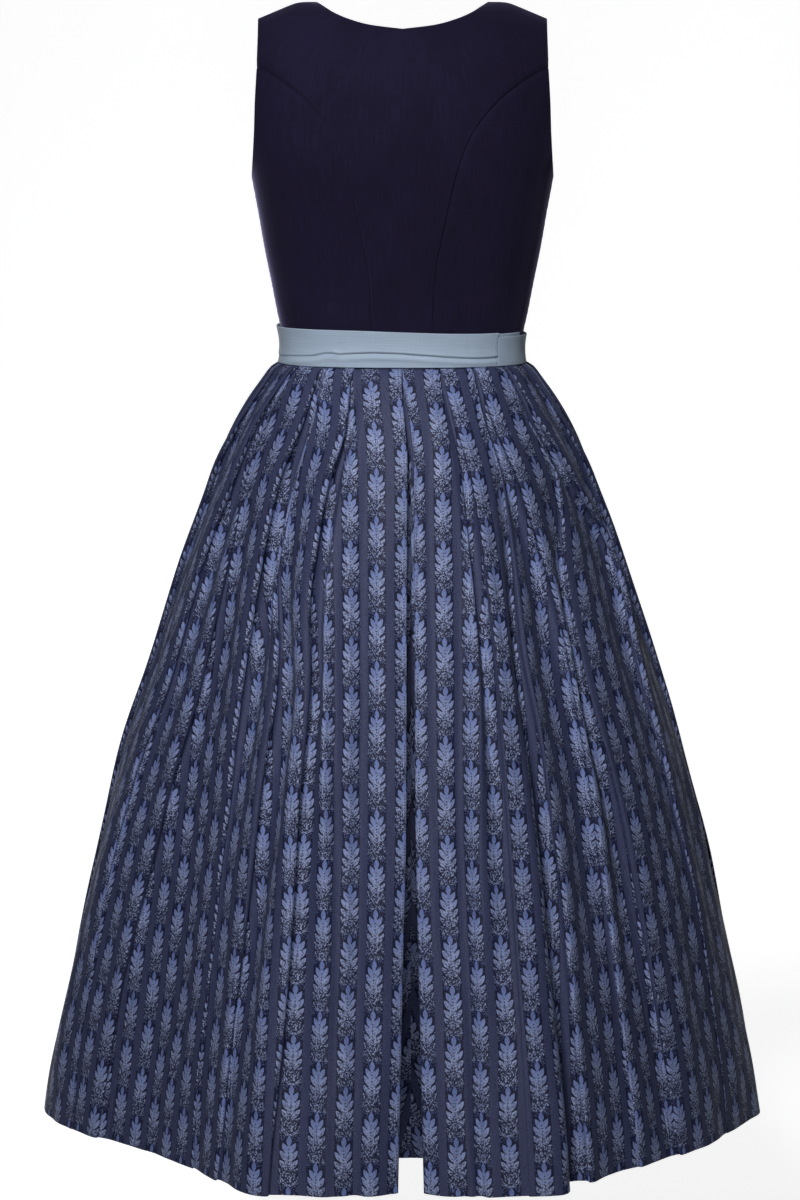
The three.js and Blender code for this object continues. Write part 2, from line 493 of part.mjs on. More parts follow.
// The centre back panel is one piece over both sides.
{
  const rows = ARM_ROWS + SEAM_ROWS,
    cols = 12;
  const T = { 1: halfTop(1, false), "-1": halfTop(-1, false) };
  const O = { 1: halfOuter(1, false), "-1": halfOuter(-1, false) };
  const points = [],
    normals = [];
  const mix = (a, b, t) => a + (b - a) * t;
  for (let r = 0; r <= rows; r++) {
    const v = r / rows;
    const prow = [],
      nrow = [];
    for (let c = 0; c <= cols; c++) {
      const s = (2 * c) / cols - 1;
      const side = s < 0 ? -1 : 1,
        u = Math.abs(s);
      const top = T[side],
        outer = O[side],
        mid = backMid(side);
      const end = outer(1);
      const q = {};
      for (const k of ["phi", "w"]) {
        const bottom = mix(k === "phi" ? 0 : waistW, end[k], u);
        const corners = mix(mix(top(0)[k], top(1)[k], u), mix(k === "phi" ? 0 : waistW, end[k], u), v);
        q[k] = mix(top(u)[k], bottom, v) + mix(mid(v)[k], outer(v)[k], u) - corners;
      }
      const p = torsoPoint(q.phi, q.w),
        n = torsoNormal(q.phi, q.w);
      p.y += half;
      if (u > 0.999 && v > 0.2) p.x -= side * half * 1.2;
      prow.push(p);
      nrow.push(n);
    }
    points.push(prow);
    normals.push(nrow);
  }
  add("bodice_back", wall(points, normals, 0, -BODICE_T), bodiceCloth);
}
for (const side of [1, -1]) {
  const tag = side > 0 ? "L" : "R";
  const sideSeamTop = { phi: (side * Math.PI) / 2, w: rowOf(sideTopZ - STRAP_TOP) };
  const sideSeam = (t) => ({ phi: (side * Math.PI) / 2, w: sideSeamTop.w + (waistW - sideSeamTop.w) * t });
  for (const front of [false, true]) {
    const arm = front ? ARM_FRONT : ARM_BACK,
      seam = front ? PRINCESS_FRONT : PRINCESS_BACK;
    const armEdge = edgeTo(side, cut(arm, seam[0].z, sideTopZ), front);
    const top = (t) => (t > 1 - 1e-9 ? sideSeamTop : armEdge(t));
    const princess = edgeTo(side, seam, front);
    const end = placeOf(side * seam[seam.length - 1].x, BODICE_END, front);
    const left = (t) => (t > 1 - 1e-9 ? { phi: end.phi, w: waistW } : princess(t));
    const name = (front ? "bodice_side_front_" : "bodice_side_back_") + tag;
    panel(name, top, bottomEdge(end.phi, (side * Math.PI) / 2), left, sideSeam, 6, SEAM_ROWS, (p, u) => {
      p.y += front ? -half : half;
      if (u < 0.001) p.x += side * half * 1.2;
    });
  }
  // Front panel: from the centre front out.
  const outer = halfOuter(side, true);
  panel(
    "bodice_front_" + tag,
    halfTop(side, true),
    bottomEdge(side * Math.PI, outer(1).phi),
    frontMid(side),
    outer,
    6,
    ARM_ROWS + SEAM_ROWS,
    (p, u, v) => {
      p.y -= half;
      if (u < 0.001) p.x += side * half;
      if (u > 0.999 && v > 0.3) p.x -= side * half * 1.2;
    },
  );
}

// ---------- skirt ----------
function evenly(pts, n) {
  const L = [0];
  for (let i = 1; i < pts.length; i++) L.push(L[i - 1] + Math.hypot(pts[i][0] - pts[i - 1][0], pts[i][1] - pts[i - 1][1]));
  const out = [];
  let j = 1;
  for (let i = 0; i <= n; i++) {
    const d = (L[L.length - 1] * i) / n;
    while (j < pts.length - 1 && L[j] < d) j++;
    const t = (d - L[j - 1]) / (L[j] - L[j - 1]);
    out.push([pts[j - 1][0] + (pts[j][0] - pts[j - 1][0]) * t, pts[j - 1][1] + (pts[j][1] - pts[j - 1][1]) * t]);
  }
  return out;
}
const RING_STEPS = 400;
const waistRing = (() => {
  const pts = [];
  for (let i = 0; i <= 2000; i++) {
    const a = (Math.PI * i) / 2000,
      c = Math.cos(a);
    pts.push([WAIST.half * Math.pow(Math.abs(Math.sin(a)), 2 / WAIST.n), (c > 0 ? WAIST.back : WAIST.front) * powS(c, 2 / WAIST.n)]);
  }
  return evenly(pts, RING_STEPS);
})();
function hemRing(rows) {
  const P = rows.map((q) => [q.x, q.y]);
  const all = [[-P[1][0], P[1][1]], ...P, [-P[P.length - 2][0], P[P.length - 2][1]]];
  const pts = [];
  for (let i = 1; i + 2 < all.length; i++)
    for (let k = 0; k < 40; k++)
      pts.push([0, 1].map((d) => spline(all[i - 1][d], all[i][d], all[i + 1][d], all[i + 2][d], k / 40)));
  pts.push(P[P.length - 1]);
  return evenly(pts, RING_STEPS);
}
const HEM = { 1: hemRing(HEM_LEFT), "-1": hemRing(HEM_RIGHT) };
const ringAt = (ring, s) => {
  const k = clamp(s, 0, 1) * RING_STEPS,
    i = Math.min(Math.floor(k), RING_STEPS - 1),
    t = k - i;
  return [ring[i][0] + (ring[i + 1][0] - ring[i][0]) * t, ring[i][1] + (ring[i + 1][1] - ring[i][1]) * t];
};
const shiftAt = (z, s) => CENTRE_SHIFT * smooth(clamp((-352 - z) / 90, 0, 1)) * clamp(1 - s / 0.3, 0, 1);
// A point of the skirt's smooth ring, and the ring's outward direction there.
function ringPoint(side, s, z) {
  const g = lookup(FLARE, "z", "g", z);
  const one = (t) => {
    const a = ringAt(waistRing, t),
      b = ringAt(HEM[side], t);
    return [a[0] + (b[0] - a[0]) * g, a[1] + (b[1] - a[1]) * g];
  };
  const p = one(s),
    q0 = one(clamp(s - 0.004, 0, 1)),
    q1 = one(clamp(s + 0.004, 0, 1));
  let nx = -(q1[1] - q0[1]),
    ny = q1[0] - q0[0];
  if (s < 0.002 || s > 0.998) nx = 0;
  const l = Math.hypot(nx, ny) || 1;
  return { x: side * p[0] + shiftAt(z, s), y: p[1], nx: (side * nx) / l, ny: ny / l };
}
const levelAt = (list, z) => {
  for (let i = 1; i < LEVELS.length; i++)
    if (z >= LEVELS[i] || i === LEVELS.length - 1) {
      const t = clamp((z - LEVELS[i - 1]) / (LEVELS[i] - LEVELS[i - 1]), 0, 1);
      const a = list[Math.max(i - 2, 0)],
        d = list[Math.min(i + 1, list.length - 1)];
      return spline(a, list[i - 1], list[i], d, t);
    }
};
// The columns of one half: each is a place between two fold lines.
function columnsOf(folds) {
  const out = [{ i: 0, t: 0 }];
  for (let i = 1; i < folds.length; i++) for (let k = 1; k <= folds[i].cols; k++) out.push({ i: i - 1, t: k / folds[i].cols });
  return out;
}
function skirtPoint(side, folds, col, z) {
  const a = folds[col.i],
    b = folds[Math.min(col.i + 1, folds.length - 1)];
  const soft = smooth(clamp((-420 - z) / 260, 0, 1));
  const t = col.t;
  const s = (levelAt(a.at, z) + (levelAt(b.at, z) - levelAt(a.at, z)) * t) / 100;
  const k = t + (smooth(t) - t) * soft;
  const out = levelAt(a.out, z) + (levelAt(b.out, z) - levelAt(a.out, z)) * k;
  const p = ringPoint(side, s, z);
  return new THREE.Vector3(p.x + p.nx * out, p.y + p.ny * out, z);
}
{
  const colsL = columnsOf(FOLDS_LEFT),
    colsR = columnsOf(FOLDS_RIGHT);
  // One ring: centre back, left side, centre front, right side, back to the centre back.
  const ring = [
    ...colsL.map((c) => ({ side: 1, folds: FOLDS_LEFT, c })),
    ...colsR
      .slice(1, -1)
      .reverse()
      .map((c) => ({ side: -1, folds: FOLDS_RIGHT, c })),
  ];
  const N = ring.length;
  const P = SKIRT_ROWS.map((z) => ring.map((q) => skirtPoint(q.side, q.folds, q.c, z)));
  const faceNormal = (a, b, c) => b.clone().sub(a).cross(c.clone().sub(a)).normalize();
  const normals = P.map((row, r) =>
    row.map((p, c) => {
      const n = new THREE.Vector3();
      const L = (c + N - 1) % N,
        R = (c + 1) % N;
      for (const [r0, r1] of [
        [r - 1, r],
        [r, r + 1],
      ]) {
        if (r0 < 0 || r1 >= P.length) continue;
        n.add(faceNormal(P[r0][L], P[r1][L], P[r1][c]));
        n.add(faceNormal(P[r0][c], P[r1][c], P[r1][R]));
      }
      n.normalize();
      // Outward is away from the axis on this ring order.
      return n;
    }),
  );
  // Direction check on a plain place: the left side faces +X.
  const probe = Math.floor(colsL.length / 2);
  const flip = normals[6][probe].x < 0 ? -1 : 1;
  normals.forEach((row) => row.forEach((n) => n.multiplyScalar(flip)));
  const cutAt = (side, name) => {
    const folds = side > 0 ? FOLDS_LEFT : FOLDS_RIGHT;
    const want = folds.findIndex((f) => f.name === name);
    const cols = side > 0 ? colsL : colsR;
    const k = cols.findIndex((c) => c.i === want - 1 && c.t === 1);
    return side > 0 ? k : N - k;
  };
  const pieces = [
    ["skirt_back_L", 0, cutAt(1, SKIRT_CUTS[0])],
    ["skirt_side_L", cutAt(1, SKIRT_CUTS[0]), cutAt(1, SKIRT_CUTS[1])],
    ["skirt_front_L", cutAt(1, SKIRT_CUTS[1]), colsL.length - 1],
    ["skirt_front_R", colsL.length - 1, cutAt(-1, SKIRT_CUTS[1])],
    ["skirt_side_R", cutAt(-1, SKIRT_CUTS[1]), cutAt(-1, SKIRT_CUTS[0])],
    ["skirt_back_R", cutAt(-1, SKIRT_CUTS[0]), N],
  ];
  for (const [name, from, to] of pieces) {
    const pts = P.map((row) => {
      const out = [];
      for (let c = from; c <= to; c++) out.push(row[c % N].clone());
      // Half a seam in from each end, along the cloth.
      const first = out[1].clone().sub(out[0]).setZ(0).normalize(),
        last = out[out.length - 2].clone().sub(out[out.length - 1]).setZ(0).normalize();
      out[0].addScaledVector(first, half);
      out[out.length - 1].addScaledVector(last, half);
      return out;
    });
    const nrm = normals.map((row) => {
      const out = [];
      for (let c = from; c <= to; c++) out.push(row[c % N]);
      return out;
    });
    add(name, wall(pts, nrm, 0, -SKIRT_T), skirtCloth);
  }
}

// ---------- apron ----------
// A band round the waist on the torso's surface, between two places round it, lifted by lift(t).
function band(name, phi0, phi1, zTop, zBottom, lift, cols, rows, cloth) {
  const points = [],
    normals = [];
  for (let r = 0; r <= rows; r++) {
    const prow = [],
      nrow = [];
    for (let c = 0; c <= cols; c++) {
      const t = c / cols;
      const phi = phi0 + (phi1 - phi0) * t;
      const z = zTop(phi) + (zBottom - zTop(phi)) * (r / rows);
      const w = rowOf(z - STRAP_TOP);
      const n = torsoNormal(phi, w).setZ(0).normalize();
      const p = torsoPoint(phi, w);
      p.z = z;
      prow.push(p.addScaledVector(n, lift(phi)));
      nrow.push(n);
    }
    points.push(prow);
    normals.push(nrow);
  }
  add(name, wall(points, normals, APRON_T, 0), cloth);
}
const bandPhi = (x, front) => placeOf(x, -335, front).phi;
const rightJoint = bandPhi(-JOINT_X, false); // negative
const leftJoint = bandPhi(JOINT_X, false);
const TURN = 2 * Math.PI;
const gapPhi = 0.003;
// Waistband: from the left joint round the left side, the front and the right side to the right joint, where it lies over the under tie's end.
const underEnd = bandPhi(-UNDER_END_X, false);
const waistEnd = TURN + rightJoint;
const waistLift = (phi) => {
  const from = TURN + underEnd - 0.6,
    to = TURN + underEnd - 0.22;
  return LAYER_1 + (LAYER_2 - LAYER_1) * smooth(clamp((phi - from) / (to - from), 0, 1));
};
band("apron_waistband", leftJoint + gapPhi, waistEnd - gapPhi, () => WAISTBAND_TOP, BAND_END, waistLift, 44, 1, apronCloth);
// Under tie: from the left joint across the back to its tucked end.
band("apron_tie_under", underEnd, leftJoint - gapPhi, () => BAND_TOP - 4, BAND_END, () => LAYER_1, 16, 1, apronCloth);
// Over tie: from the right joint across the back and round the left side to the bow.
const KNOT_HALF = 12;
const bowPhi = bandPhi(BOW_X + KNOT_HALF + 1.5, true);
band("apron_tie_over", rightJoint + gapPhi, bowPhi, () => BAND_TOP, BAND_END, () => LAYER_2, 34, 1, apronCloth);

// Apron panel: on the skirt's ring, stood off it, with soft gathers.
function apronPoint(k, row) {
  // k: -1 at the right edge, 0 at the middle, 1 at the left edge.
  const side = k < 0 ? -1 : 1;
  const g = lookup(FLARE, "z", "g", row.z);
  let length = 0;
  {
    const a = [ringAt(waistRing, 0), ringAt(HEM[side], 0)];
    let prev = null;
    for (let i = 0; i <= 100; i++) {
      const u = ringAt(waistRing, i / 100),
        v = ringAt(HEM[side], i / 100);
      const p = [u[0] + (v[0] - u[0]) * g, u[1] + (v[1] - u[1]) * g];
      if (prev) length += Math.hypot(p[0] - prev[0], p[1] - prev[1]);
      prev = p;
    }
  }
  const s = 1 - (Math.abs(k) * row.half) / length;
  const p = ringPoint(side, s, row.z);
  const wave = row.wave * Math.sin(k * APRON_WAVES * Math.PI + 0.9 * Math.sin(row.z / 170) + 0.6 * k);
  const off = row.off + wave;
  return new THREE.Vector3(p.x + p.nx * off, p.y + p.ny * off, row.z);
}
{
  const P = APRON.map((row) => Array.from({ length: APRON_COLS + 1 }, (_, c) => apronPoint((2 * c) / APRON_COLS - 1, row)));
  const N = P.map((prow, r) =>
    prow.map((p, c) => {
      const a = P[r][Math.max(c - 1, 0)],
        b = P[r][Math.min(c + 1, APRON_COLS)],
        d = P[Math.max(r - 1, 0)][c],
        e = P[Math.min(r + 1, P.length - 1)][c];
      const n = b.clone().sub(a).cross(e.clone().sub(d)).normalize();
      return n.y > 0 ? n.negate() : n;
    }),
  );
  add("apron_panel", wall(P, N, APRON_T, 0), apronCloth);
}

// ---------- bow ----------
const bowW = rowOf(-334 - STRAP_TOP);
const bowAt = torsoPoint(bandPhi(BOW_X, true), bowW);
const bowN = torsoNormal(bandPhi(BOW_X, true), bowW).setZ(0).normalize(); // straight out of the front
const bowU = new THREE.Vector3(-bowN.y, bowN.x, 0); // along the band, towards the wearer's left
if (bowU.x < 0) bowU.negate();
const KNOT_D = 13; // how far the knot stands out
const knotC = bowAt.clone().addScaledVector(bowN, LAYER_2 + 1.2 + KNOT_D / 2);
knotC.z = -334;
{
  // The knot: a pillow-like wrap, rounder than a box.
  const g = new THREE.SphereGeometry(1, 12, 8);
  const pos = g.getAttribute("position");
  for (let i = 0; i < pos.count; i++) {
    const v = new THREE.Vector3().fromBufferAttribute(pos, i);
    const box = (q) => powS(q, 0.62);
    const p = knotC
      .clone()
      .addScaledVector(bowU, box(v.x) * KNOT_HALF)
      .addScaledVector(bowN, box(v.z) * (KNOT_D / 2));
    p.z += box(v.y) * 17;
    pos.setXYZ(i, p.x, p.y, p.z);
  }
  add("bow_knot", g, apronCloth);
}
// A loop: the cloth goes out from the knot and comes back in front, as a flat drop seen from above.
function loop(name, dir) {
  const LEN = 60,
    WIDE = 19;
  const steps = 16,
    rows = 2;
  const points = [],
    normals = [];
  for (let r = 0; r <= rows; r++) {
    const prow = [],
      nrow = [];
    for (let c = 0; c <= steps; c++) {
      const a = (Math.PI * 2 * (0.035 + 0.93 * (c / steps))) - Math.PI;
      // Drop shape: x from the knot outwards, y off the body.
      const x = LEN * 0.5 * (1 + Math.cos(a)) + 1.2;
      const fat = WIDE * 0.5 * Math.sin(a) * (0.42 + 0.58 * (x / LEN));
      const y = KNOT_D / 2 + 4.5 + fat - (x / LEN) * 1.5;
      const widen = 11.5 + 5.5 * Math.sin(Math.PI * clamp(x / LEN, 0, 1) * 0.62);
      const zz = -333 - 0.6 * (x / LEN) + widen * (1 - (2 * r) / rows);
      const p = bowAt
        .clone()
        .addScaledVector(bowU, dir * (KNOT_HALF + x))
        .addScaledVector(bowN, LAYER_2 + APRON_T + 1.2 + y - 2.5 + dropBack(x, dir));
      p.z = zz;
      prow.push(p);
    }
    points.push(prow);
  }
  for (let r = 0; r <= rows; r++) {
    const nrow = [];
    for (let c = 0; c <= steps; c++) {
      const a = points[r][Math.max(c - 1, 0)],
        b = points[r][Math.min(c + 1, steps)];
      const t = b.clone().sub(a).normalize();
      const n = new THREE.Vector3(t.y, -t.x, 0).normalize();
      nrow.push(n);
    }
    normals.push(nrow);
  }
  add(name, wall(points, normals, APRON_T / 2, -APRON_T / 2), apronCloth);
}
// The body curves away from the bow's plane; the loops follow it a little on the side that turns away.
function dropBack(x, dir) {
  return dir > 0 ? -0.0009 * x * x : -0.0001 * x * x;
}
loop("bow_loop_L", 1);
loop("bow_loop_R", -1);
// The two hanging ends: strips over the apron from under the knot.
const END_Z = [-352.4, -362, -380, -410, -450, -500, -560];
function tail(name, x0, drift, length) {
  const rows = END_Z.filter((z) => z > -351 - length);
  const points = [],
    normals = [];
  const W = 17;
  for (const z of rows) {
    const t = (-352 - z) / 200;
    const prow = [],
      nrow = [];
    for (let c = 0; c <= 2; c++) {
      const x = x0 + drift * t + (c - 1) * W * (0.62 + 0.38 * clamp(t * 3, 0, 1));
      // Find the apron's ring at this x.
      const off = lookup(APRON, "z", "off", z) + lookup(APRON, "z", "wave", z) + APRON_T + 2.8 + 1.2 * Math.sin(c * 1.6 + t * 5);
      let lo = 0.5,
        hi = 1;
      for (let i = 0; i < 40; i++) {
        const m = (lo + hi) / 2;
        if (ringPoint(1, m, z).x > x) lo = m;
        else hi = m;
      }
      const q = ringPoint(1, (lo + hi) / 2, z);
      prow.push(new THREE.Vector3(q.x + q.nx * off, q.y + q.ny * off, z));
      nrow.push(new THREE.Vector3(q.nx, q.ny, 0));
    }
    points.push(prow);
    normals.push(nrow);
  }
  add(name, wall(points, normals, APRON_T, 0), apronCloth);
}
tail("bow_end_L", BOW_X + 21, 26, 215);
tail("bow_end_R", BOW_X - 15, -10, 160);

export default root;
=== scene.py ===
"""Looks of a sleeveless dirndl in its worn, hollow form, seen from its back: navy bodice, pleated jacquard skirt, apron and ties.
Tables and shape functions are in millimetres, in the part's own frame: +Z up, the wearer faces -Y, +X is the wearer's left."""

import math

import bpy
import numpy as np
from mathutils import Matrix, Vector


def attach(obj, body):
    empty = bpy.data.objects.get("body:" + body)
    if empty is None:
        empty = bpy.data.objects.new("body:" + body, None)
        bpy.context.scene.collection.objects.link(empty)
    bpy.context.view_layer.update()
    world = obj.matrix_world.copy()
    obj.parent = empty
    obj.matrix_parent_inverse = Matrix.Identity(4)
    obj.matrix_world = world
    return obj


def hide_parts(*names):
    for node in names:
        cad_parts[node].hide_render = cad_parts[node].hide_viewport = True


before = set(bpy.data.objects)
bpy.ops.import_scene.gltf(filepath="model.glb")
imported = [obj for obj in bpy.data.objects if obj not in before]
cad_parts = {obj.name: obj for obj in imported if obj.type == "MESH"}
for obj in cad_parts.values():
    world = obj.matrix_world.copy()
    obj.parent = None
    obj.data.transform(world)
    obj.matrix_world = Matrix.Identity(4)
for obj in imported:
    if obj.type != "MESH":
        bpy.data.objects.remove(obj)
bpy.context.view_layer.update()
rng = np.random.default_rng(7)
TAU = 2 * math.pi

# ---------- driving sizes (mm) ----------
BODICE_T, SKIRT_T, APRON_T = 2.0, 1.6, 1.2
SEAM = 0.3
STRAP_TOP = 2.0
NECK_HALF, ARM_HALF = 84, 142
SLOPE_START, SLOPE, SLOPE_SOFT, SLOPE_FADE = 103, 0.42, 3, 170
RING_N = 2.4
BODICE_END, SKIRT_TOP, HEM_Z = -351.5, -352.1, -1113
BAND_TOP, WAISTBAND_TOP, BAND_END = -316.5, -323.5, -351.6
LAYER_1, LAYER_2 = 1.1, 3.1
JOINT_X, UNDER_END_X, BOW_X = 90.6, 112, 31
CENTRE_SHIFT = -8
WAIST_HALF, WAIST_BACK, WAIST_FRONT = 128, 87, 111
LEVELS = [-352, -400, -460, -540, -640, -760, -900, -1113]
CUT_LINES = ("under3", "under6")  # lines that the side seams of the skirt follow
APRON_WAVES = 6

# ---------- tables ----------
# Torso sections: height, half width, depth of the back, depth of the front.
TORSO = [
    (0, 165, 0, 0),
    (-3, 166, 17, 15),
    (-10, 167, 36, 32),
    (-24, 167, 58, 52),
    (-50, 167, 80, 76),
    (-85, 165, 94, 98),
    (-125, 159, 100, 120),
    (-150, 154.6, 100.6, 130),
    (-171, 149, 100, 137),
    (-205, 142.5, 96, 142),
    (-240, 136.5, 90, 134),
    (-275, 129.5, 84, 118),
    (-303, 124.2, 80.5, 108),
    (-333, 118.2, 78.5, 103),
    (-356, 119.2, 79, 104.5),
]
# Neck edges from the shoulder seam to the middle: distance from the middle, height.
NECK_BACK = [
    (84, 2),
    (76.8, -2.2),
    (67, -8.1),
    (53, -14),
    (32, -19.8),
    (0, -23.8),
]
# The same at the front.
NECK_FRONT = [
    (84, 2),
    (82, -30),
    (77, -62),
    (66, -92),
    (40, -112),
    (0, -118),
]
# Arm edges from the shoulder seam to the side seam: height, distance from the middle, depth.
ARM_BACK = [
    (-14, 142, 0),
    (-20, 141.7, 16),
    (-35, 141.6, 35),
    (-65, 142.3, 51),
    (-94, 143.9, 55),
    (-123, 145, 52),
    (-148, 146.6, 43),
    (-162, 147.9, 30),
    (-169.5, 148.7, 15),
    (-172, 148.9, 0),
]
# The same at the front.
ARM_FRONT = [
    (-14, 142, 0),
    (-20, 141, 15),
    (-35, 140, 33),
    (-65, 137, 54),
    (-94, 136.5, 66),
    (-123, 139.5, 67),
    (-148, 144.6, 57),
    (-162, 147.4, 38),
    (-169.5, 148.6, 18),
    (-172, 148.9, 0),
]
# Princess seams from the arm edge to the waist: height, distance from the middle.
PRINCESS_BACK = [
    (-61, 142.2),
    (-68, 128),
    (-76, 115.5),
    (-90, 96.5),
    (-109, 78.5),
    (-125, 67.5),
    (-146, 58),
    (-179, 49),
    (-217, 40.5),
    (-258, 32.6),
    (-300, 30.2),
    (-352, 30.5),
]
# The same at the front.
PRINCESS_FRONT = [
    (-84, 136.4),
    (-96, 126),
    (-115, 114),
    (-140, 103),
    (-170, 95),
    (-205, 89),
    (-240, 79),
    (-280, 64),
    (-315, 52),
    (-352, 48),
]
# Flare of the skirt: height, share of the way from the waist ring to the hem ring.
FLARE = [
    (-352, -0.03),
    (-356.5, 0),
    (-360.5, 0.0149),
    (-366.5, 0.0319),
    (-386, 0.088),
    (-406, 0.138),
    (-446, 0.2213),
    (-486, 0.2837),
    (-567, 0.4107),
    (-648, 0.528),
    (-729, 0.6415),
    (-810, 0.7342),
    (-892, 0.8165),
    (-975, 0.893),
    (-1057, 0.9652),
    (-1113, 1),
]
# Hem ring from above, centre back to centre front, left: x, y.
HEM_LEFT = [
    (0, 322),
    (37, 332),
    (90, 334),
    (138, 331),
    (160, 311),
    (184, 267),
    (208, 223),
    (239, 177),
    (285, 131),
    (327, 83),
    (352, 42),
    (363.5, 2),
    (358, -65),
    (330, -145),
    (275, -222),
    (195, -285),
    (100, -318),
    (0, -328),
]
# Hem ring, right.
HEM_RIGHT = [
    (0, 322),
    (30, 330),
    (70, 334),
    (115, 332),
    (158, 318),
    (178, 280),
    (208, 243),
    (252, 200),
    (292, 154),
    (318, 107),
    (342, 57),
    (363.5, 2),
    (358, -65),
    (330, -145),
    (275, -222),
    (195, -285),
    (100, -318),
    (0, -328),
]
# Folds from the centre back to the centre front, left: name, place in percent of the half ring, stand off the ring, both at the LEVELS.
FOLDS_LEFT = [
    ("recess", (0, 0, 0, 0, 0, 0, 0, 0), (0, -5, -11, -18, -28, -48, -80, -130)),
    ("lip", (0.25, 0.5, 0.6, 0.6, 0.55, 0.5, 0.75, 1), (1.2, 4, 5, 5, 5, 4, 3, 0)),
    ("crest1", (5, 5, 4.8, 4.3, 3.8, 3.6, 3.5, 3.8), (1, 2, 3, 4, 4, 4, 3, 3)),
    ("valley1", (6.5, 7.2, 7.2, 6.8, 6, 5.6, 5.2, 4.9), (0.8, 0, -1, -3, -4, -5, -5, -4)),
    ("crest2", (8, 9.2, 10, 9.2, 8, 7, 6.4, 5.9), (0.5, 1, 2, 3, 2, 1, 0, 0)),
    ("valley2", (8.8, 9.9, 11, 10.8, 9.5, 8.1, 7.2, 6.6), (0.2, 0, -1, -2, -3, -2, 0, 1)),
    ("crest3", (9.3, 10.4, 11.6, 12, 10.89, 9.5, 8.2, 7.4), (0, -1, -2, -1, 4, 5, 4, 3)),
    ("under1", (12.6, 11.2, 12.59, 12.76, 11.34, 10.84, 10.58, 9.8), (-1, -5, -8, -10, -9, -9, -8, -5)),
    ("edge1", (13.3, 12.2, 13.71, 14.04, 12.47, 11.96, 11.62, 12.1), (2, 5, 7, 7, 6, 6, 6, 3)),
    ("under1b", (20, 19.8, 21.3, 21.95, 17.28, 16.75, 17.44, 18.44), (0, -1, -3, -6, -10, -11, -8.5, -3.5)),
    ("edge1b", (20.5, 20.3, 21.8, 22.45, 18.32, 17.95, 18.56, 19.26), (0, 0, -1, 0, 4, 5, 4.2, 2)),
    ("under2", (21.4, 21.74, 23.61, 23.98, 23.75, 23.32, 22.8, 22.8), (-1.5, -6, -10, -11, -9, -4, 0, 1)),
    ("edge2", (22.2, 22.56, 24.89, 25.32, 24.95, 24.08, 23.5, 23.8), (2, 5, 7, 7, 7, 6, 5, 4)),
    ("under3", (29.55, 31.55, 33.7, 33.1, 32.61, 33.72, 35.76, 36.9), (0, -1, -3, -6, -10, -10, -7.6, -3)),
    ("edge3", (30.05, 32.05, 34.2, 33.6, 33.59, 34.78, 36.74, 37.9), (0, 0, -1, 0, 3, 4, 3.4, 1.5)),
    ("under3b", (30.65, 34.51, 36.01, 38.39, 38.46, 41.15, 42.3, 41.4), (-1.5, -5, -8, -10, -8, -4, 0, 0)),
    ("edge3b", (31.15, 35.19, 36.99, 39.51, 39.44, 41.75, 42.8, 42), (2, 4, 5, 5, 5, 4, 2.5, 1)),
    ("under4", (38.6, 42, 45.6, 47.6, 48.4, 48.8, 49.8, 50.4), (-1.5, -4, -6, -6, -5, -4, -3, -1.2)),
    ("edge4", (39.2, 43.6, 48.4, 51.4, 53, 53.4, 54.2, 54.8), (2, 4, 5, 5, 4, 3, 2, 0)),
    ("under5", (48.4, 50.2, 52.6, 54.6, 55.8, 56.2, 56.4, 56.6), (-1.5, -4, -6, -7, -6, -5, -4, -1.8)),
    ("edge5", (49, 51.6, 55.2, 58.4, 60.4, 61.2, 61.6, 61.8), (2, 4, 5, 5, 5, 4, 3, 1.2)),
    ("under6", (58.6, 60.2, 62.2, 64, 65.2, 66, 66.4, 66.8), (-1.5, -4, -6, -7, -7, -7, -6, -5)),
    ("edge6", (59.2, 61.6, 64.6, 67.6, 69.8, 71, 71.6, 72), (2, 4, 4, 4, 4, 4, 3, 3)),
    ("under7", (69, 70.4, 72, 73.6, 74.8, 75.6, 76.2, 76.6), (-1.5, -3, -5, -6, -6, -6, -6, -5)),
    ("edge7", (69.6, 71.8, 74.4, 76.8, 78.6, 79.8, 80.6, 81.2), (2, 3, 3, 3, 3, 3, 3, 3)),
    ("under8", (79.4, 80.6, 82, 83.2, 84.2, 85, 85.6, 86), (-1.5, -3, -5, -5, -5, -5, -5, -5)),
    ("edge8", (80, 82, 84.2, 86.2, 87.8, 88.8, 89.6, 90.2), (2, 3, 3, 3, 3, 3, 3, 3)),
    ("under9", (89.8, 90.8, 92, 93, 93.6, 94, 94.4, 94.6), (-1.5, -3, -4, -5, -5, -5, -5, -4)),
    ("edge9", (90.4, 92, 93.8, 95.2, 96, 96.6, 97, 97.2), (2, 3, 3, 3, 3, 3, 3, 2)),
    ("front", (100, 100, 100, 100, 100, 100, 100, 100), (0, 0, 0, 0, 0, 0, 0, 0)),
]
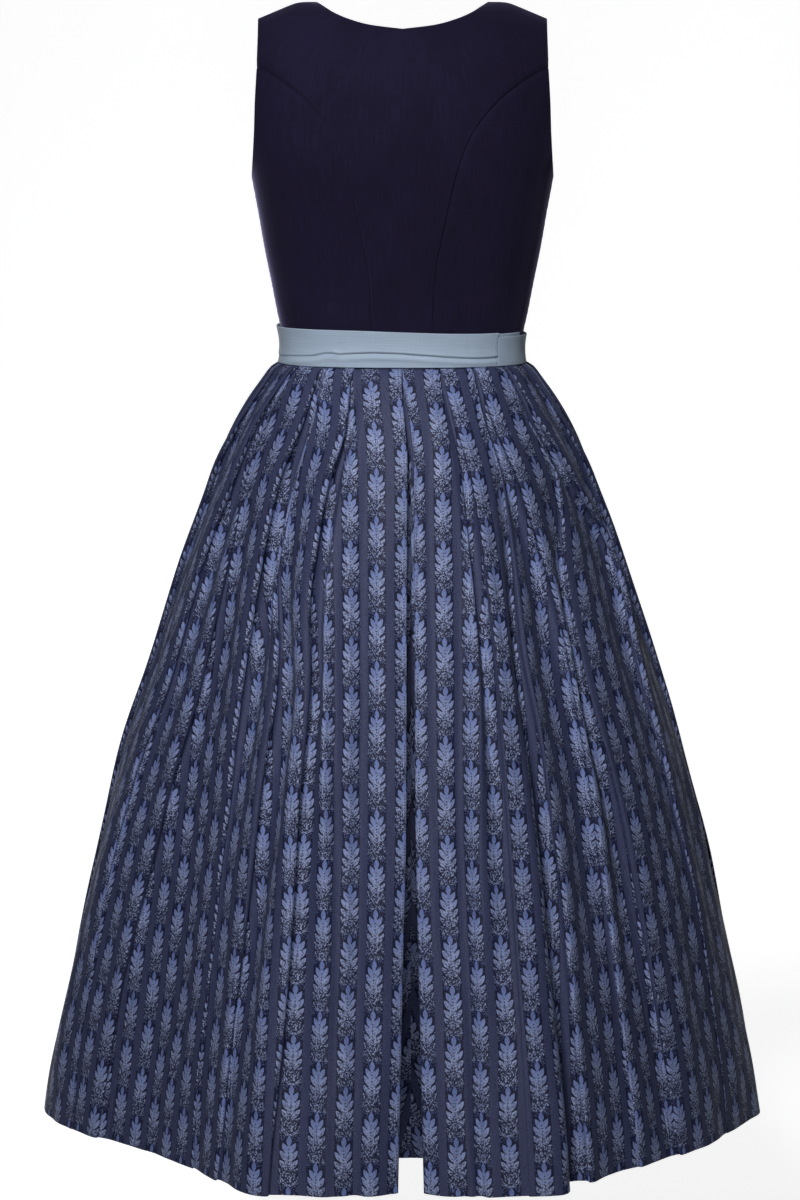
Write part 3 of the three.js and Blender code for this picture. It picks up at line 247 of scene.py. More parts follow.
# Folds, right.
FOLDS_RIGHT = [
    ("recess", (0, 0, 0, 0, 0, 0, 0, 0), (0, -5, -11, -18, -28, -48, -80, -130)),
    ("lip", (0.25, 0.5, 0.6, 0.6, 0.55, 0.5, 0.75, 1.05), (1.2, 4, 5, 5, 5, 4, 3, 0)),
    ("crest1", (2.5, 2.1, 1.8, 1.6, 1.6, 1.9, 2.7, 4), (1, 2, 3, 3, 3, 4, 4, 3)),
    ("valley1", (5.8, 4.6, 3.6, 3.2, 3.1, 3.3, 4, 4.9), (0.8, 0.5, 0, -1, -1, -1, 0, 0)),
    ("crest2", (8, 6.7, 5.7, 5.1, 4.6, 4.3, 4.7, 5.5), (0.5, 1, 2, 3, 1, 0, 0, 1)),
    ("valley2", (8.8, 8.4, 8.3, 7.9, 6.7, 5.6, 5.8, 6.2), (0.2, -1, -2, -2, -6, -6, -4, -3)),
    ("crest3", (9.2, 9.02, 9.57, 9.59, 9.2, 7.9, 7.2, 7), (0, -3, -5, -3, 5, 6, 5, 3)),
    ("under1", (9.7, 9.47, 10.02, 10.04, 9.96, 9.7, 9.8, 9.2), (-1, -5, -9, -11, -9, -6, -3, 0)),
    ("edge1", (10.4, 10.22, 11.22, 11.47, 11.24, 10.8, 10.6, 10.5), (2, 5, 7, 8, 8, 7, 6, 4)),
    ("fold1", (17.2, 14.9, 14.8, 13.8, 13, 13.1, 13.3, 13.4), (0.5, 1, 1, 2, 3, 3, 3, 3)),
    ("under2", (18.45, 16.95, 18.15, 17.49, 15.82, 16.46, 16.44, 16.69), (0, -1, -3, -7, -12, -14, -16, -20)),
    ("edge2", (18.95, 17.45, 18.65, 18.01, 16.88, 17.74, 17.86, 18.41), (0, 0, -1, 0, 2, 3, 3, 3)),
    ("under2b", (19.4, 18.49, 20.41, 22.54, 23.8, 24.01, 24.38, 24.94), (-1.5, -6, -10, -12, -10, -8, -5.1, -2)),
    ("edge2b", (19.9, 19.31, 21.69, 23.96, 25, 24.99, 25.12, 25.46), (2, 5, 7, 7, 6, 5, 3.4, 1.5)),
    ("under3", (27.9, 28.45, 31.95, 28.84, 26.78, 28.04, 28.88, 30.42), (0, -1, -4, -7, -10, -10, -7.6, -3)),
    ("edge3", (28.4, 28.95, 32.45, 29.36, 27.82, 29.16, 29.92, 31.18), (0, 0, -1, 0, 4, 5, 4.2, 2)),
    ("under3b", (29.65, 31.01, 35.46, 42.68, 40.86, 40.55, 40.6, 39.6), (-1.5, -5, -8, -9, -8, -4, 0, 0)),
    ("edge3b", (30.15, 31.69, 36.44, 43.72, 41.84, 41.15, 41.2, 40.4), (2, 4, 5, 5, 5, 4, 2.5, 1)),
    ("under4", (37.8, 40.4, 44.2, 47, 48, 48.4, 49.4, 50.2), (-1.5, -4, -6, -6, -5, -4, -3, -1.2)),
    ("edge4", (38.4, 42, 47.2, 51, 52.6, 53.2, 54, 54.6), (2, 4, 5, 5, 4, 3, 2, 0)),
    ("under5", (48.2, 50, 52.4, 54.4, 55.6, 56, 56.2, 56.4), (-1.5, -4, -6, -7, -6, -5, -4, -1.8)),
    ("edge5", (48.8, 51.4, 55, 58.2, 60.2, 61, 61.4, 61.6), (2, 4, 5, 5, 5, 4, 3, 1.2)),
    ("under6", (58.6, 60.2, 62.2, 64, 65.2, 66, 66.4, 66.8), (-1.5, -4, -6, -7, -7, -7, -6, -5)),
    ("edge6", (59.2, 61.6, 64.6, 67.6, 69.8, 71, 71.6, 72), (2, 4, 4, 4, 4, 4, 3, 3)),
    ("under7", (69, 70.4, 72, 73.6, 74.8, 75.6, 76.2, 76.6), (-1.5, -3, -5, -6, -6, -6, -6, -5)),
    ("edge7", (69.6, 71.8, 74.4, 76.8, 78.6, 79.8, 80.6, 81.2), (2, 3, 3, 3, 3, 3, 3, 3)),
    ("under8", (79.4, 80.6, 82, 83.2, 84.2, 85, 85.6, 86), (-1.5, -3, -5, -5, -5, -5, -5, -5)),
    ("edge8", (80, 82, 84.2, 86.2, 87.8, 88.8, 89.6, 90.2), (2, 3, 3, 3, 3, 3, 3, 3)),
    ("under9", (89.8, 90.8, 92, 93, 93.6, 94, 94.4, 94.6), (-1.5, -3, -4, -5, -5, -5, -5, -4)),
    ("edge9", (90.4, 92, 93.8, 95.2, 96, 96.6, 97, 97.2), (2, 3, 3, 3, 3, 3, 3, 2)),
    ("front", (100, 100, 100, 100, 100, 100, 100, 100), (0, 0, 0, 0, 0, 0, 0, 0)),
]
# Apron panel: height, half width, stand off the skirt, depth of its gathers.
APRON = [
    (-352.2, 118, 4.2, 0.5),
    (-360, 121, 5.8, 1.3),
    (-380, 128, 7.4, 2.0),
    (-430, 146, 8.4, 2.6),
    (-520, 172, 8.8, 3.0),
    (-650, 200, 9.2, 3.2),
    (-800, 222, 9.6, 3.6),
    (-930, 236, 10, 4.0),
    (-1046, 246, 10.4, 4.4),
]
# Tie crease: x across the back, share of the band's height down to it.
CREASE = [(117, 0.80), (106, 0.755), (84, 0.70), (74.6, 0.62), (66, 0.61), (60, 0.64), (48, 0.61), (28, 0.575),
          (2, 0.59), (-23, 0.635), (-48, 0.69), (-65, 0.72), (-77, 0.725), (-91, 0.715)]
# Cloth grain on the skirt's faces: the grain number, in mm along the cloth, that each free edge lies on, at the two heights GRAIN_Z.
GRAIN_Z = (-657.0, -1034.0)
GRAIN_LEFT = {"lip": (12.2, 14.4), "edge1": (165.7, 187.2), "edge1b": (348.8, 368.6), "edge2": (535.9, 536.5), "edge3": (844.5, 847.0), "edge3b": (991.9, 983.7),
              "edge4": (1134.0, 1134.0), "edge5": (1296.0, 1296.0), "edge6": (1458.0, 1458.0), "edge7": (1620.0, 1620.0), "edge8": (1782.0, 1782.0), "edge9": (1944.0, 1944.0)}
GRAIN_RIGHT = {"lip": (38.4, 36.4), "edge1": (195.2, 192.0), "edge2": (491.1, 504.9), "edge2b": (659.7, 662.3), "edge3": (863.1, 873.9), "edge3b": (994.0, 994.0),
               "edge4": (1134.0, 1134.0), "edge5": (1296.0, 1296.0), "edge6": (1458.0, 1458.0), "edge7": (1620.0, 1620.0), "edge8": (1782.0, 1782.0), "edge9": (1944.0, 1944.0)}
REPEAT_U, REPEAT_V = 27.0, 47.6  # jacquard repeat, mm
FIRST_TOP = 8.0  # first leaf tip above the hem


# ---------- small maths ----------
def smooth(t):
    t = np.clip(t, 0, 1)
    return t * t * (3 - 2 * t)


def pows(v, e):
    return np.sign(v) * np.abs(v) ** e


def spline4(p0, p1, p2, p3, t):
    return 0.5 * (2 * p1 + (p2 - p0) * t + (2 * p0 - 5 * p1 + 4 * p2 - p3) * t * t + (3 * p1 - p0 - 3 * p2 + p3) * t ** 3)


def curve(xs, ys, x):
    """A smooth curve through the table (xs rising), by Hermite pieces."""
    xs, ys = np.asarray(xs, float), np.asarray(ys, float)
    d = np.diff(ys) / np.diff(xs)
    m = np.empty_like(ys)
    m[1:-1] = (d[:-1] * np.diff(xs)[1:] + d[1:] * np.diff(xs)[:-1]) / (np.diff(xs)[1:] + np.diff(xs)[:-1])
    m[0], m[-1] = d[0], d[-1]
    flat = np.concatenate([[False], d[:-1] * d[1:] <= 0, [False]])
    m[flat] = 0
    x = np.clip(x, xs[0], xs[-1])
    i = np.clip(np.searchsorted(xs, x, side="right") - 1, 0, len(xs) - 2)
    h = xs[i + 1] - xs[i]
    t = (x - xs[i]) / h
    return ((2 * t ** 3 - 3 * t ** 2 + 1) * ys[i] + (t ** 3 - 2 * t ** 2 + t) * h * m[i]
            + (-2 * t ** 3 + 3 * t ** 2) * ys[i + 1] + (t ** 3 - t ** 2) * h * m[i + 1])


def falling(rows, key, value, k):
    """curve() on a table whose key column falls."""
    r = np.array([[q[key], q[value]] for q in rows], float)
    return curve(-r[:, 0], r[:, 1], -np.asarray(k, float))


# ---------- torso surface ----------
TOR = np.array(TORSO, float)


def torso_at(w, col):
    n = len(TOR) - 1
    w = np.asarray(w, float)
    i = np.clip(np.floor(w).astype(int), 0, n - 1)
    odd = -1 if col >= 2 else 1
    tab = TOR[:, col]
    ext = np.concatenate([[odd * tab[1]], tab, [2 * tab[n] - tab[n - 1]]])
    return spline4(ext[i], ext[i + 1], ext[i + 2], ext[i + 3], w - i)


_W = np.linspace(0, len(TOR) - 1, 6000)
_Z = torso_at(_W, 0)


def row_of(zeta):
    return np.interp(-np.asarray(zeta, float), -_Z, _W)


def drop(x, zeta):
    return SLOPE * SLOPE_SOFT * np.log1p(np.exp((np.abs(x) - SLOPE_START) / SLOPE_SOFT)) * np.clip(1 + zeta / SLOPE_FADE, 0, 1)


def torso_point(phi, w):
    zeta = torso_at(w, 0)
    s, c = np.sin(phi), np.cos(phi)
    x = torso_at(w, 1) * pows(s, 2 / RING_N)
    y = np.where(c >= 0, torso_at(w, 2), torso_at(w, 3)) * pows(c, 2 / RING_N)
    return np.stack([x, y, zeta + STRAP_TOP - drop(x, zeta)], -1)


def torso_normal(phi, w):
    e = 1e-3
    w0 = np.maximum(w - 0.02, 0)
    n = np.cross(torso_point(phi, w + 0.02) - torso_point(phi, w0), torso_point(phi + e, w) - torso_point(phi - e, w))
    n /= np.linalg.norm(n, axis=-1, keepdims=True)
    out = np.stack([np.sin(phi), np.cos(phi), 0.6 + 0 * phi], -1)
    return n * np.sign((n * out).sum(-1, keepdims=True))


def place_of(x, z, front):
    x, z = np.asarray(x, float), np.asarray(z, float)
    zeta = np.minimum(z - STRAP_TOP, 0)
    for _ in range(14):
        zeta = np.minimum(0, z - STRAP_TOP + drop(x, zeta))
    w = row_of(zeta)
    share = np.clip(np.abs(x) / torso_at(w, 1), 0, 1)
    phi = np.arcsin(share ** (RING_N / 2))
    return np.where(x < 0, -1.0, 1.0) * (math.pi - phi if front else phi), w


def along(rows, t):
    """Even steps by length along a table of places, (x, z) columns first."""
    rows = np.asarray(rows, float)
    L = np.concatenate([[0], np.cumsum(np.linalg.norm(np.diff(rows, axis=0), axis=1))])
    d = np.asarray(t, float) * L[-1]
    i = np.clip(np.searchsorted(L, d, side="left"), 1, len(rows) - 1)
    k = ((d - L[i - 1]) / (L[i] - L[i - 1]))[..., None]
    a, b, c, e = rows[np.maximum(i - 2, 0)], rows[i - 1], rows[i], rows[np.minimum(i + 1, len(rows) - 1)]
    return spline4(a, b, c, e, k)


WAIST_W = float(row_of(BODICE_END - STRAP_TOP))


def xz(rows):
    """Rows of (z, x[, y]) as (x, z[, y])."""
    r = np.array(rows, float)
    return np.concatenate([r[:, 1:2], r[:, 0:1], r[:, 2:]], 1)


def cut_rows(rows, from_z, to_z):
    r = xz(rows)
    def at(z):
        return [np.interp(-z, -r[:, 1], r[:, 0]), z] + ([np.interp(-z, -r[:, 1], r[:, 2])] if r.shape[1] > 2 else [])
    inside = [list(q) for q in r if to_z + 0.5 < q[1] < from_z - 0.5]
    return np.array([at(from_z)] + inside + [at(to_z)])


def edge_to(side, rows, front):
    def f(t):
        q = along(rows, t)
        return place_of(side * np.maximum(q[..., 0], 1e-6), q[..., 1], front)
    return f


ARM_ROWS, SEAM_ROWS, SHARE = 3, 10, 0.62
JOIN = ARM_ROWS / (ARM_ROWS + SEAM_ROWS)


def shoulder(side, front, t):
    x = NECK_HALF + (ARM_HALF - NECK_HALF) * t
    phi = np.arcsin((x / TOR[0, 1]) ** (RING_N / 2))
    return side * (math.pi - phi if front else phi), 0 * t


def half_top(side, front):
    neck = np.array(NECK_FRONT if front else NECK_BACK, float)
    def f(t):
        q = along(neck, 1 - np.clip(t / SHARE, 0, 1))
        p1, w1 = place_of(side * np.maximum(q[..., 0], 1e-6), q[..., 1], front)
        p2, w2 = shoulder(side, front, np.clip((t - SHARE) / (1 - SHARE), 0, 1))
        pick = t < SHARE * 0.999
        return np.where(pick, p1, p2), np.where(pick, w1, w2)
    return f


def half_outer(side, front):
    arm, seam = (ARM_FRONT, PRINCESS_FRONT) if front else (ARM_BACK, PRINCESS_BACK)
    a = edge_to(side, cut_rows(arm, arm[0][0], seam[0][0]), front)
    b = edge_to(side, xz(seam), front)
    end = place_of(side * seam[-1][1], BODICE_END, front)
    start = shoulder(side, front, np.array(1.0))
    def f(t):
        pa, wa = a(np.clip(t / JOIN, 0, 1))
        pb, wb = b(np.clip((t - JOIN) / (1 - JOIN), 0, 1))
        p, w = np.where(t < JOIN, pa, pb), np.where(t < JOIN, wa, wb)
        p, w = np.where(t < 1e-9, start[0], p), np.where(t < 1e-9, start[1], w)
        return np.where(t > 1 - 1e-9, end[0], p), np.where(t > 1 - 1e-9, WAIST_W, w)
    return f, end[0]


def steps(n, edge=0.006, extra=()):
    """0..1 in n steps, with a narrow step at each end, for a neat edge."""
    kept = np.array([edge, 1 - edge] + list(extra))
    even = np.linspace(0, 1, n + 1)
    inner = even[1:-1]
    clear = np.abs(inner[:, None] - kept[None, :]).min(axis=1) > 0.4 / n
    return np.unique(np.concatenate([[0.0, 1.0], inner[clear], kept]))


def coons(top, bottom, left, right, u, v, fall=1.0):
    """Fills the patch between four edges in (phi, w). The top edge's shape fades down with the power fall."""
    out = []
    for k in (0, 1):
        T, B = top(u)[k][None, :], bottom(u)[k][None, :]
        L, R = left(v)[k][:, None], right(v)[k][:, None]
        one, zero = np.array([1.0]), np.array([0.0])
        c = [[top(zero)[k][0], top(one)[k][0]], [bottom(zero)[k][0], bottom(one)[k][0]]]
        U, V = u[None, :], v[:, None]
        head, foot = (1 - U) * c[0][0] + U * c[0][1], (1 - U) * c[1][0] + U * c[1][1]
        near, far = (1 - V) * c[0][0] + V * c[1][0], (1 - V) * c[0][1] + V * c[1][1]
        flat = (1 - V) * head + V * foot
        out.append(flat + (1 - V) ** fall * (T - head) + V * (B - foot) + (1 - U) * (L - near) + U * (R - far))
    return out


def even_grid(phi, w, rounds=900):
    """Spreads the inner points of a patch so that no row or column crosses another (elliptic grid)."""
    drop = 330.0 / WAIST_W
    G = np.stack([phi * 118.0, w * drop])
    for _ in range(rounds):
        across = (G[:, 1:-1, 2:] - G[:, 1:-1, :-2]) / 2
        down = (G[:, 2:, 1:-1] - G[:, :-2, 1:-1]) / 2
        a, c = (down ** 2).sum(0), (across ** 2).sum(0)
        b = (across * down).sum(0)
        turn = (G[:, 2:, 2:] - G[:, 2:, :-2] - G[:, :-2, 2:] + G[:, :-2, :-2]) / 4
        new = (a * (G[:, 1:-1, 2:] + G[:, 1:-1, :-2]) + c * (G[:, 2:, 1:-1] + G[:, :-2, 1:-1]) - 2 * b * turn) / (2 * (a + c) + 1e-9)
        G[:, 1:-1, 1:-1] += 0.9 * (new - G[:, 1:-1, 1:-1])
    return G[0] / 118.0, G[1] / drop


# ---------- meshes ----------
def arc_u(P):
    d = np.linalg.norm(np.diff(P, axis=1), axis=2)
    return np.concatenate([np.zeros((len(P), 1)), np.cumsum(d, 1)], 1)


def arc_v(P):
    d = np.linalg.norm(np.diff(P, axis=0), axis=2)
    return -np.concatenate([np.zeros((1, P.shape[1])), np.cumsum(d, 0)], 0)


def grid_normals(P, outward):
    """Normals of a grid of points, turned to agree with the outward directions."""
    du, dv = np.gradient(P, axis=1), np.gradient(P, axis=0)
    n = np.cross(du, dv)
    n /= np.maximum(np.linalg.norm(n, axis=-1, keepdims=True), 1e-12)
    s = np.sign((n * outward).sum(-1))
    return n * (1 if s.sum() >= 0 else -1)


def shell(name, P, N, outer, inner, mats, Uq=None, V=None, close=False):
    """A cloth wall: the grid P lifted by outer and by inner along N, closed by rounded rims. mats: outside, inside.
    Uq[r, c, 0 and 1] is the cloth coordinate at the left and right of each cell, and V that of each point, in mm."""
    R, C = P.shape[:2]
    if V is None:
        V = arc_v(P)
    if Uq is None:
        U = arc_u(P)
        Uq = np.stack([U[:, :-1], U[:, 1:]], -1)
    A, B = P + N * outer, P + N * inner
    mid = (A + B) / 2
    half = abs(outer - inner) / 2
    verts = [A.reshape(-1, 3), B.reshape(-1, 3)]
    idA = np.arange(R * C).reshape(R, C)
    idB = idA + R * C
    faces, us, vs, mat = [], [], [], []

    def quad(a, b, c, d, u, v, m):
        faces.append(np.stack([x.ravel() for x in (a, b, c, d)], 1))
        us.append(np.stack([x.ravel() for x in u], 1))
        vs.append(np.stack([x.ravel() for x in v], 1))
        mat.append(np.full(a.size, m))

    u4 = (Uq[:-1, :, 0], Uq[1:, :, 0], Uq[1:, :, 1], Uq[:-1, :, 1])
    v4 = (V[:-1, :-1], V[1:, :-1], V[1:, 1:], V[:-1, 1:])
    quad(idA[:-1, :-1], idA[1:, :-1], idA[1:, 1:], idA[:-1, 1:], u4, v4, 0)
    quad(idB[:-1, :-1], idB[:-1, 1:], idB[1:, 1:], idB[1:, :-1], (u4[0], u4[3], u4[2], u4[1]), (v4[0], v4[3], v4[2], v4[1]), 1)
    # The rim runs once round the grid, with a middle line pushed out by part of the thickness.
    ring = [(0, c) for c in range(C)] + [(r, C - 1) for r in range(1, R)] + [(R - 1, c) for c in range(C - 2, -1, -1)] + [(r, 0) for r in range(R - 2, 0, -1)]
    rr, cc = np.array([q[0] for q in ring]), np.array([q[1] for q in ring])
    ir, ic = np.clip(rr, 1, R - 2), np.clip(cc, 1, C - 2)
    away = mid[rr, cc] - mid[ir, ic]
    away /= np.maximum(np.linalg.norm(away, axis=1, keepdims=True), 1e-9)
    M = mid[rr, cc] + away * half * (0.0 if close else 0.55)
    verts.append(M)
    n0 = 2 * R * C
    k = np.arange(len(ring))
    k2 = (k + 1) % len(ring)
    cu = np.clip(cc, 0, C - 2)
    Ur = np.where(cc == C - 1, Uq[rr, cu, 1], Uq[rr, cu, 0])
    Vr = V[rr, cc]
    a, b = idA[rr, cc], idB[rr, cc]
    for lo, hi in ((a, n0 + k), (n0 + k, b)):
        quad(lo, lo[k2], hi[k2], hi, (Ur, Ur[k2], Ur[k2], Ur), (Vr, Vr[k2], Vr[k2], Vr), 0)
    verts = np.concatenate(verts) * 0.001
    F = np.concatenate(faces)
    Ul, Vl = np.concatenate(us), np.concatenate(vs)
    # Faces point out of the wall.
    tri = np.concatenate([F[:, [0, 1, 2]], F[:, [0, 2, 3]]])
    vol = np.einsum("ij,ij->i", verts[tri[:, 0]], np.cross(verts[tri[:, 1]], verts[tri[:, 2]])).sum()
    if vol < 0:
        F, Ul, Vl = F[:, ::-1], Ul[:, ::-1], Vl[:, ::-1]
    me = bpy.data.meshes.new(name + "_cloth")
    me.from_pydata(verts.tolist(), [], F.tolist())
    me.polygons.foreach_set("use_smooth", np.ones(len(F), bool))
    me.polygons.foreach_set("material_index", np.concatenate(mat).astype(np.int32))
    uv = me.uv_layers.new(name="cloth")
    uv.data.foreach_set("uv", np.stack([Ul.ravel(), Vl.ravel()], 1).astype(np.float32).ravel())
    for m in mats:
        me.materials.append(m)
    ob = bpy.data.objects.new(name + "_cloth", me)
    bpy.context.scene.collection.objects.link(ob)
    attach(ob, "root")
    return ob


def sheet_area(P):
    d1, d2 = P[1:, 1:] - P[:-1, :-1], P[:-1, 1:] - P[1:, :-1]
    return float(np.linalg.norm(np.cross(d1, d2), axis=2).sum() / 2)


# ---------- materials ----------
def lin(hexa):
    """Linear colour of an sRGB hex value."""
    c = [int(hexa[i:i + 2], 16) / 255 for i in (0, 2, 4)]
    return tuple(v / 12.92 if v <= 0.04045 else ((v + 0.055) / 1.055) ** 2.4 for v in c) + (1.0,)


class Mat:
    """A small builder of node materials."""

    def __init__(self, name):
        self.mat = bpy.data.materials.new(name)
        self.mat.use_nodes = True
        self.nt = self.mat.node_tree
        self.nt.nodes.clear()
        self.bsdf = self.nt.nodes.new("ShaderNodeBsdfPrincipled")
        out = self.nt.nodes.new("ShaderNodeOutputMaterial")
        self.nt.links.new(self.bsdf.outputs[0], out.inputs[0])

    def put(self, socket, value):
        if isinstance(value, bpy.types.NodeSocket):
            self.nt.links.new(value, socket)
        else:
            socket.default_value = value

    def node(self, kind, values=(), **props):
        n = self.nt.nodes.new(kind)
        for k, v in props.items():
            setattr(n, k, v)
        for k, v in dict(values).items():
            self.put(n.inputs[k], v)
        return n

    def m(self, op, a, b=None, c=None, clamp=False):
        n = self.node("ShaderNodeMath", operation=op, use_clamp=clamp)
        for i, v in enumerate((a, b, c)):
            if v is not None:
                self.put(n.inputs[i], v)
        return n.outputs[0]

    def uv(self):
        n = self.node("ShaderNodeUVMap", uv_map="cloth")
        s = self.node("ShaderNodeSeparateXYZ", {0: n.outputs[0]})
        return s.outputs[0], s.outputs[1]

    def vec(self, x=0.0, y=0.0, z=0.0):
        return self.node("ShaderNodeCombineXYZ", {0: x, 1: y, 2: z}).outputs[0]

    def noise(self, vector, scale=1.0, detail=2.0, rough=0.5, dims="3D"):
        return self.node("ShaderNodeTexNoise", {"Vector": vector, "Scale": scale, "Detail": detail, "Roughness": rough}, noise_dimensions=dims).outputs[0]

    def range(self, v, a, b, c=0.0, d=1.0, kind="LINEAR"):
        return self.node("ShaderNodeMapRange", {0: v, 1: a, 2: b, 3: c, 4: d}, interpolation_type=kind, clamp=True).outputs[0]

    def mix(self, f, a, b):
        n = self.node("ShaderNodeMix", data_type="RGBA")
        self.put(n.inputs[0], f)
        self.put(n.inputs[6], a)
        self.put(n.inputs[7], b)
        return n.outputs[2]

    def scale_colour(self, colour, by):
        """Colour times a number."""
        n = self.node("ShaderNodeMix", data_type="RGBA", blend_type="MULTIPLY")
        n.inputs[0].default_value = 1.0
        self.put(n.inputs[6], colour)
        self.put(n.inputs[7], self.node("ShaderNodeCombineColor", {0: by, 1: by, 2: by}).outputs[0])
        return n.outputs[2]

    def bump(self, height, distance, strength=1.0):
        n = self.node("ShaderNodeBump", {"Height": height, "Distance": distance, "Strength": strength})
        self.put(self.bsdf.inputs["Normal"], n.outputs[0])
        return n

    def finish(self, colour, rough, sheen=0.0, sheen_rough=0.5, sheen_tint=(1, 1, 1, 1), spec=0.5):
        b = self.bsdf.inputs
        self.put(b["Base Color"], colour)
        self.put(b["Roughness"], rough)
        b["Sheen Weight"].default_value = sheen
        b["Sheen Roughness"].default_value = sheen_rough
        b["Sheen Tint"].default_value = sheen_tint
        b["Specular IOR Level"].default_value = spec
        return self.mat


def bodice_material(name, dark=1.0):
    """Dark navy linen-like cloth with a fine upright grain."""
    g = Mat(name)
    u, v = g.uv()
    # Upright grain: uneven fine ribs 1.3 mm apart, broken along their length.
    warp = g.noise(g.vec(g.m("MULTIPLY", u, 0.75), g.m("MULTIPLY", v, 0.035)), 1.0, 3.0, 0.6)
    ribs = g.m("SINE", g.m("MULTIPLY", u, TAU / 1.35))
    weft = g.noise(g.vec(g.m("MULTIPLY", u, 0.06), g.m("MULTIPLY", v, 0.9)), 1.0, 2.0, 0.6)
    nap = g.noise(g.vec(g.m("MULTIPLY", u, 0.012), g.m("MULTIPLY", v, 0.009)), 1.0, 3.0, 0.55)
    grain = g.m("ADD", g.m("MULTIPLY", g.m("SUBTRACT", warp, 0.5), 1.6), g.m("ADD", g.m("MULTIPLY", ribs, 0.10), g.m("MULTIPLY", g.m("SUBTRACT", weft, 0.5), 0.8)))
    level = g.m("ADD", g.m("MULTIPLY", grain, 0.5), g.m("MULTIPLY", g.m("SUBTRACT", nap, 0.5), 0.5))
    base = g.mix(g.range(level, -0.45, 0.45), lin("080612"), lin("251f3d"))
    base = g.scale_colour(base, dark)
    g.bump(grain, 0.00014, 0.7)
    return g.finish(base, g.range(grain, -0.6, 0.6, 0.82, 0.95), 0.35, 0.35, (0.45, 0.42, 0.75, 1), 0.12)


def apron_material(name, tone=1.0, u_scale=1.0):
    """Pale blue-grey plain weave with slubs running along the cloth."""
    g = Mat(name)
    u, v = g.uv()
    slub = g.noise(g.vec(g.m("MULTIPLY", u, 0.022), g.m("MULTIPLY", v, 0.85)), 1.0, 4.0, 0.65)
    fine = g.noise(g.vec(g.m("MULTIPLY", u, 0.5), g.m("MULTIPLY", v, 1.7)), 1.0, 2.0, 0.6)
    cross = g.noise(g.vec(g.m("MULTIPLY", u, 0.9), g.m("MULTIPLY", v, 0.05), 3.0), 1.0, 2.0, 0.6)
    cloud = g.noise(g.vec(g.m("MULTIPLY", u, 0.01), g.m("MULTIPLY", v, 0.02), 7.0), 1.0, 3.0, 0.5)
    weave = g.m("ADD", g.m("MULTIPLY", g.m("SUBTRACT", slub, 0.5), 1.1), g.m("ADD", g.m("MULTIPLY", g.m("SUBTRACT", fine, 0.5), 0.5), g.m("MULTIPLY", g.m("SUBTRACT", cross, 0.5), 0.35)))
    level = g.m("ADD", weave, g.m("MULTIPLY", g.m("SUBTRACT", cloud, 0.5), 0.5))
    base = g.mix(g.range(level, -0.6, 0.6), lin("8a9db3"), lin("adbccd"))
    base = g.scale_colour(base, tone)
    g.bump(weave, 0.00016, 0.7)
    return g.finish(base, g.range(weave, -0.5, 0.5, 0.5, 0.68), 0.12, 0.4, (0.9, 0.94, 1, 1), 0.35)


# Leaflet pairs of the jacquard figure: height of the tip below the spray's tip, distance of the tip from the stem, height of the foot, half width.
LEAFLETS = [(6.9, 6.1, 16.4, 2.4), (14.0, 8.2, 23.8, 2.5), (22.8, 8.5, 32.6, 2.5), (30.5, 8.9, 40.3, 2.4), (38.5, 8.8, 48.2, 2.3)]


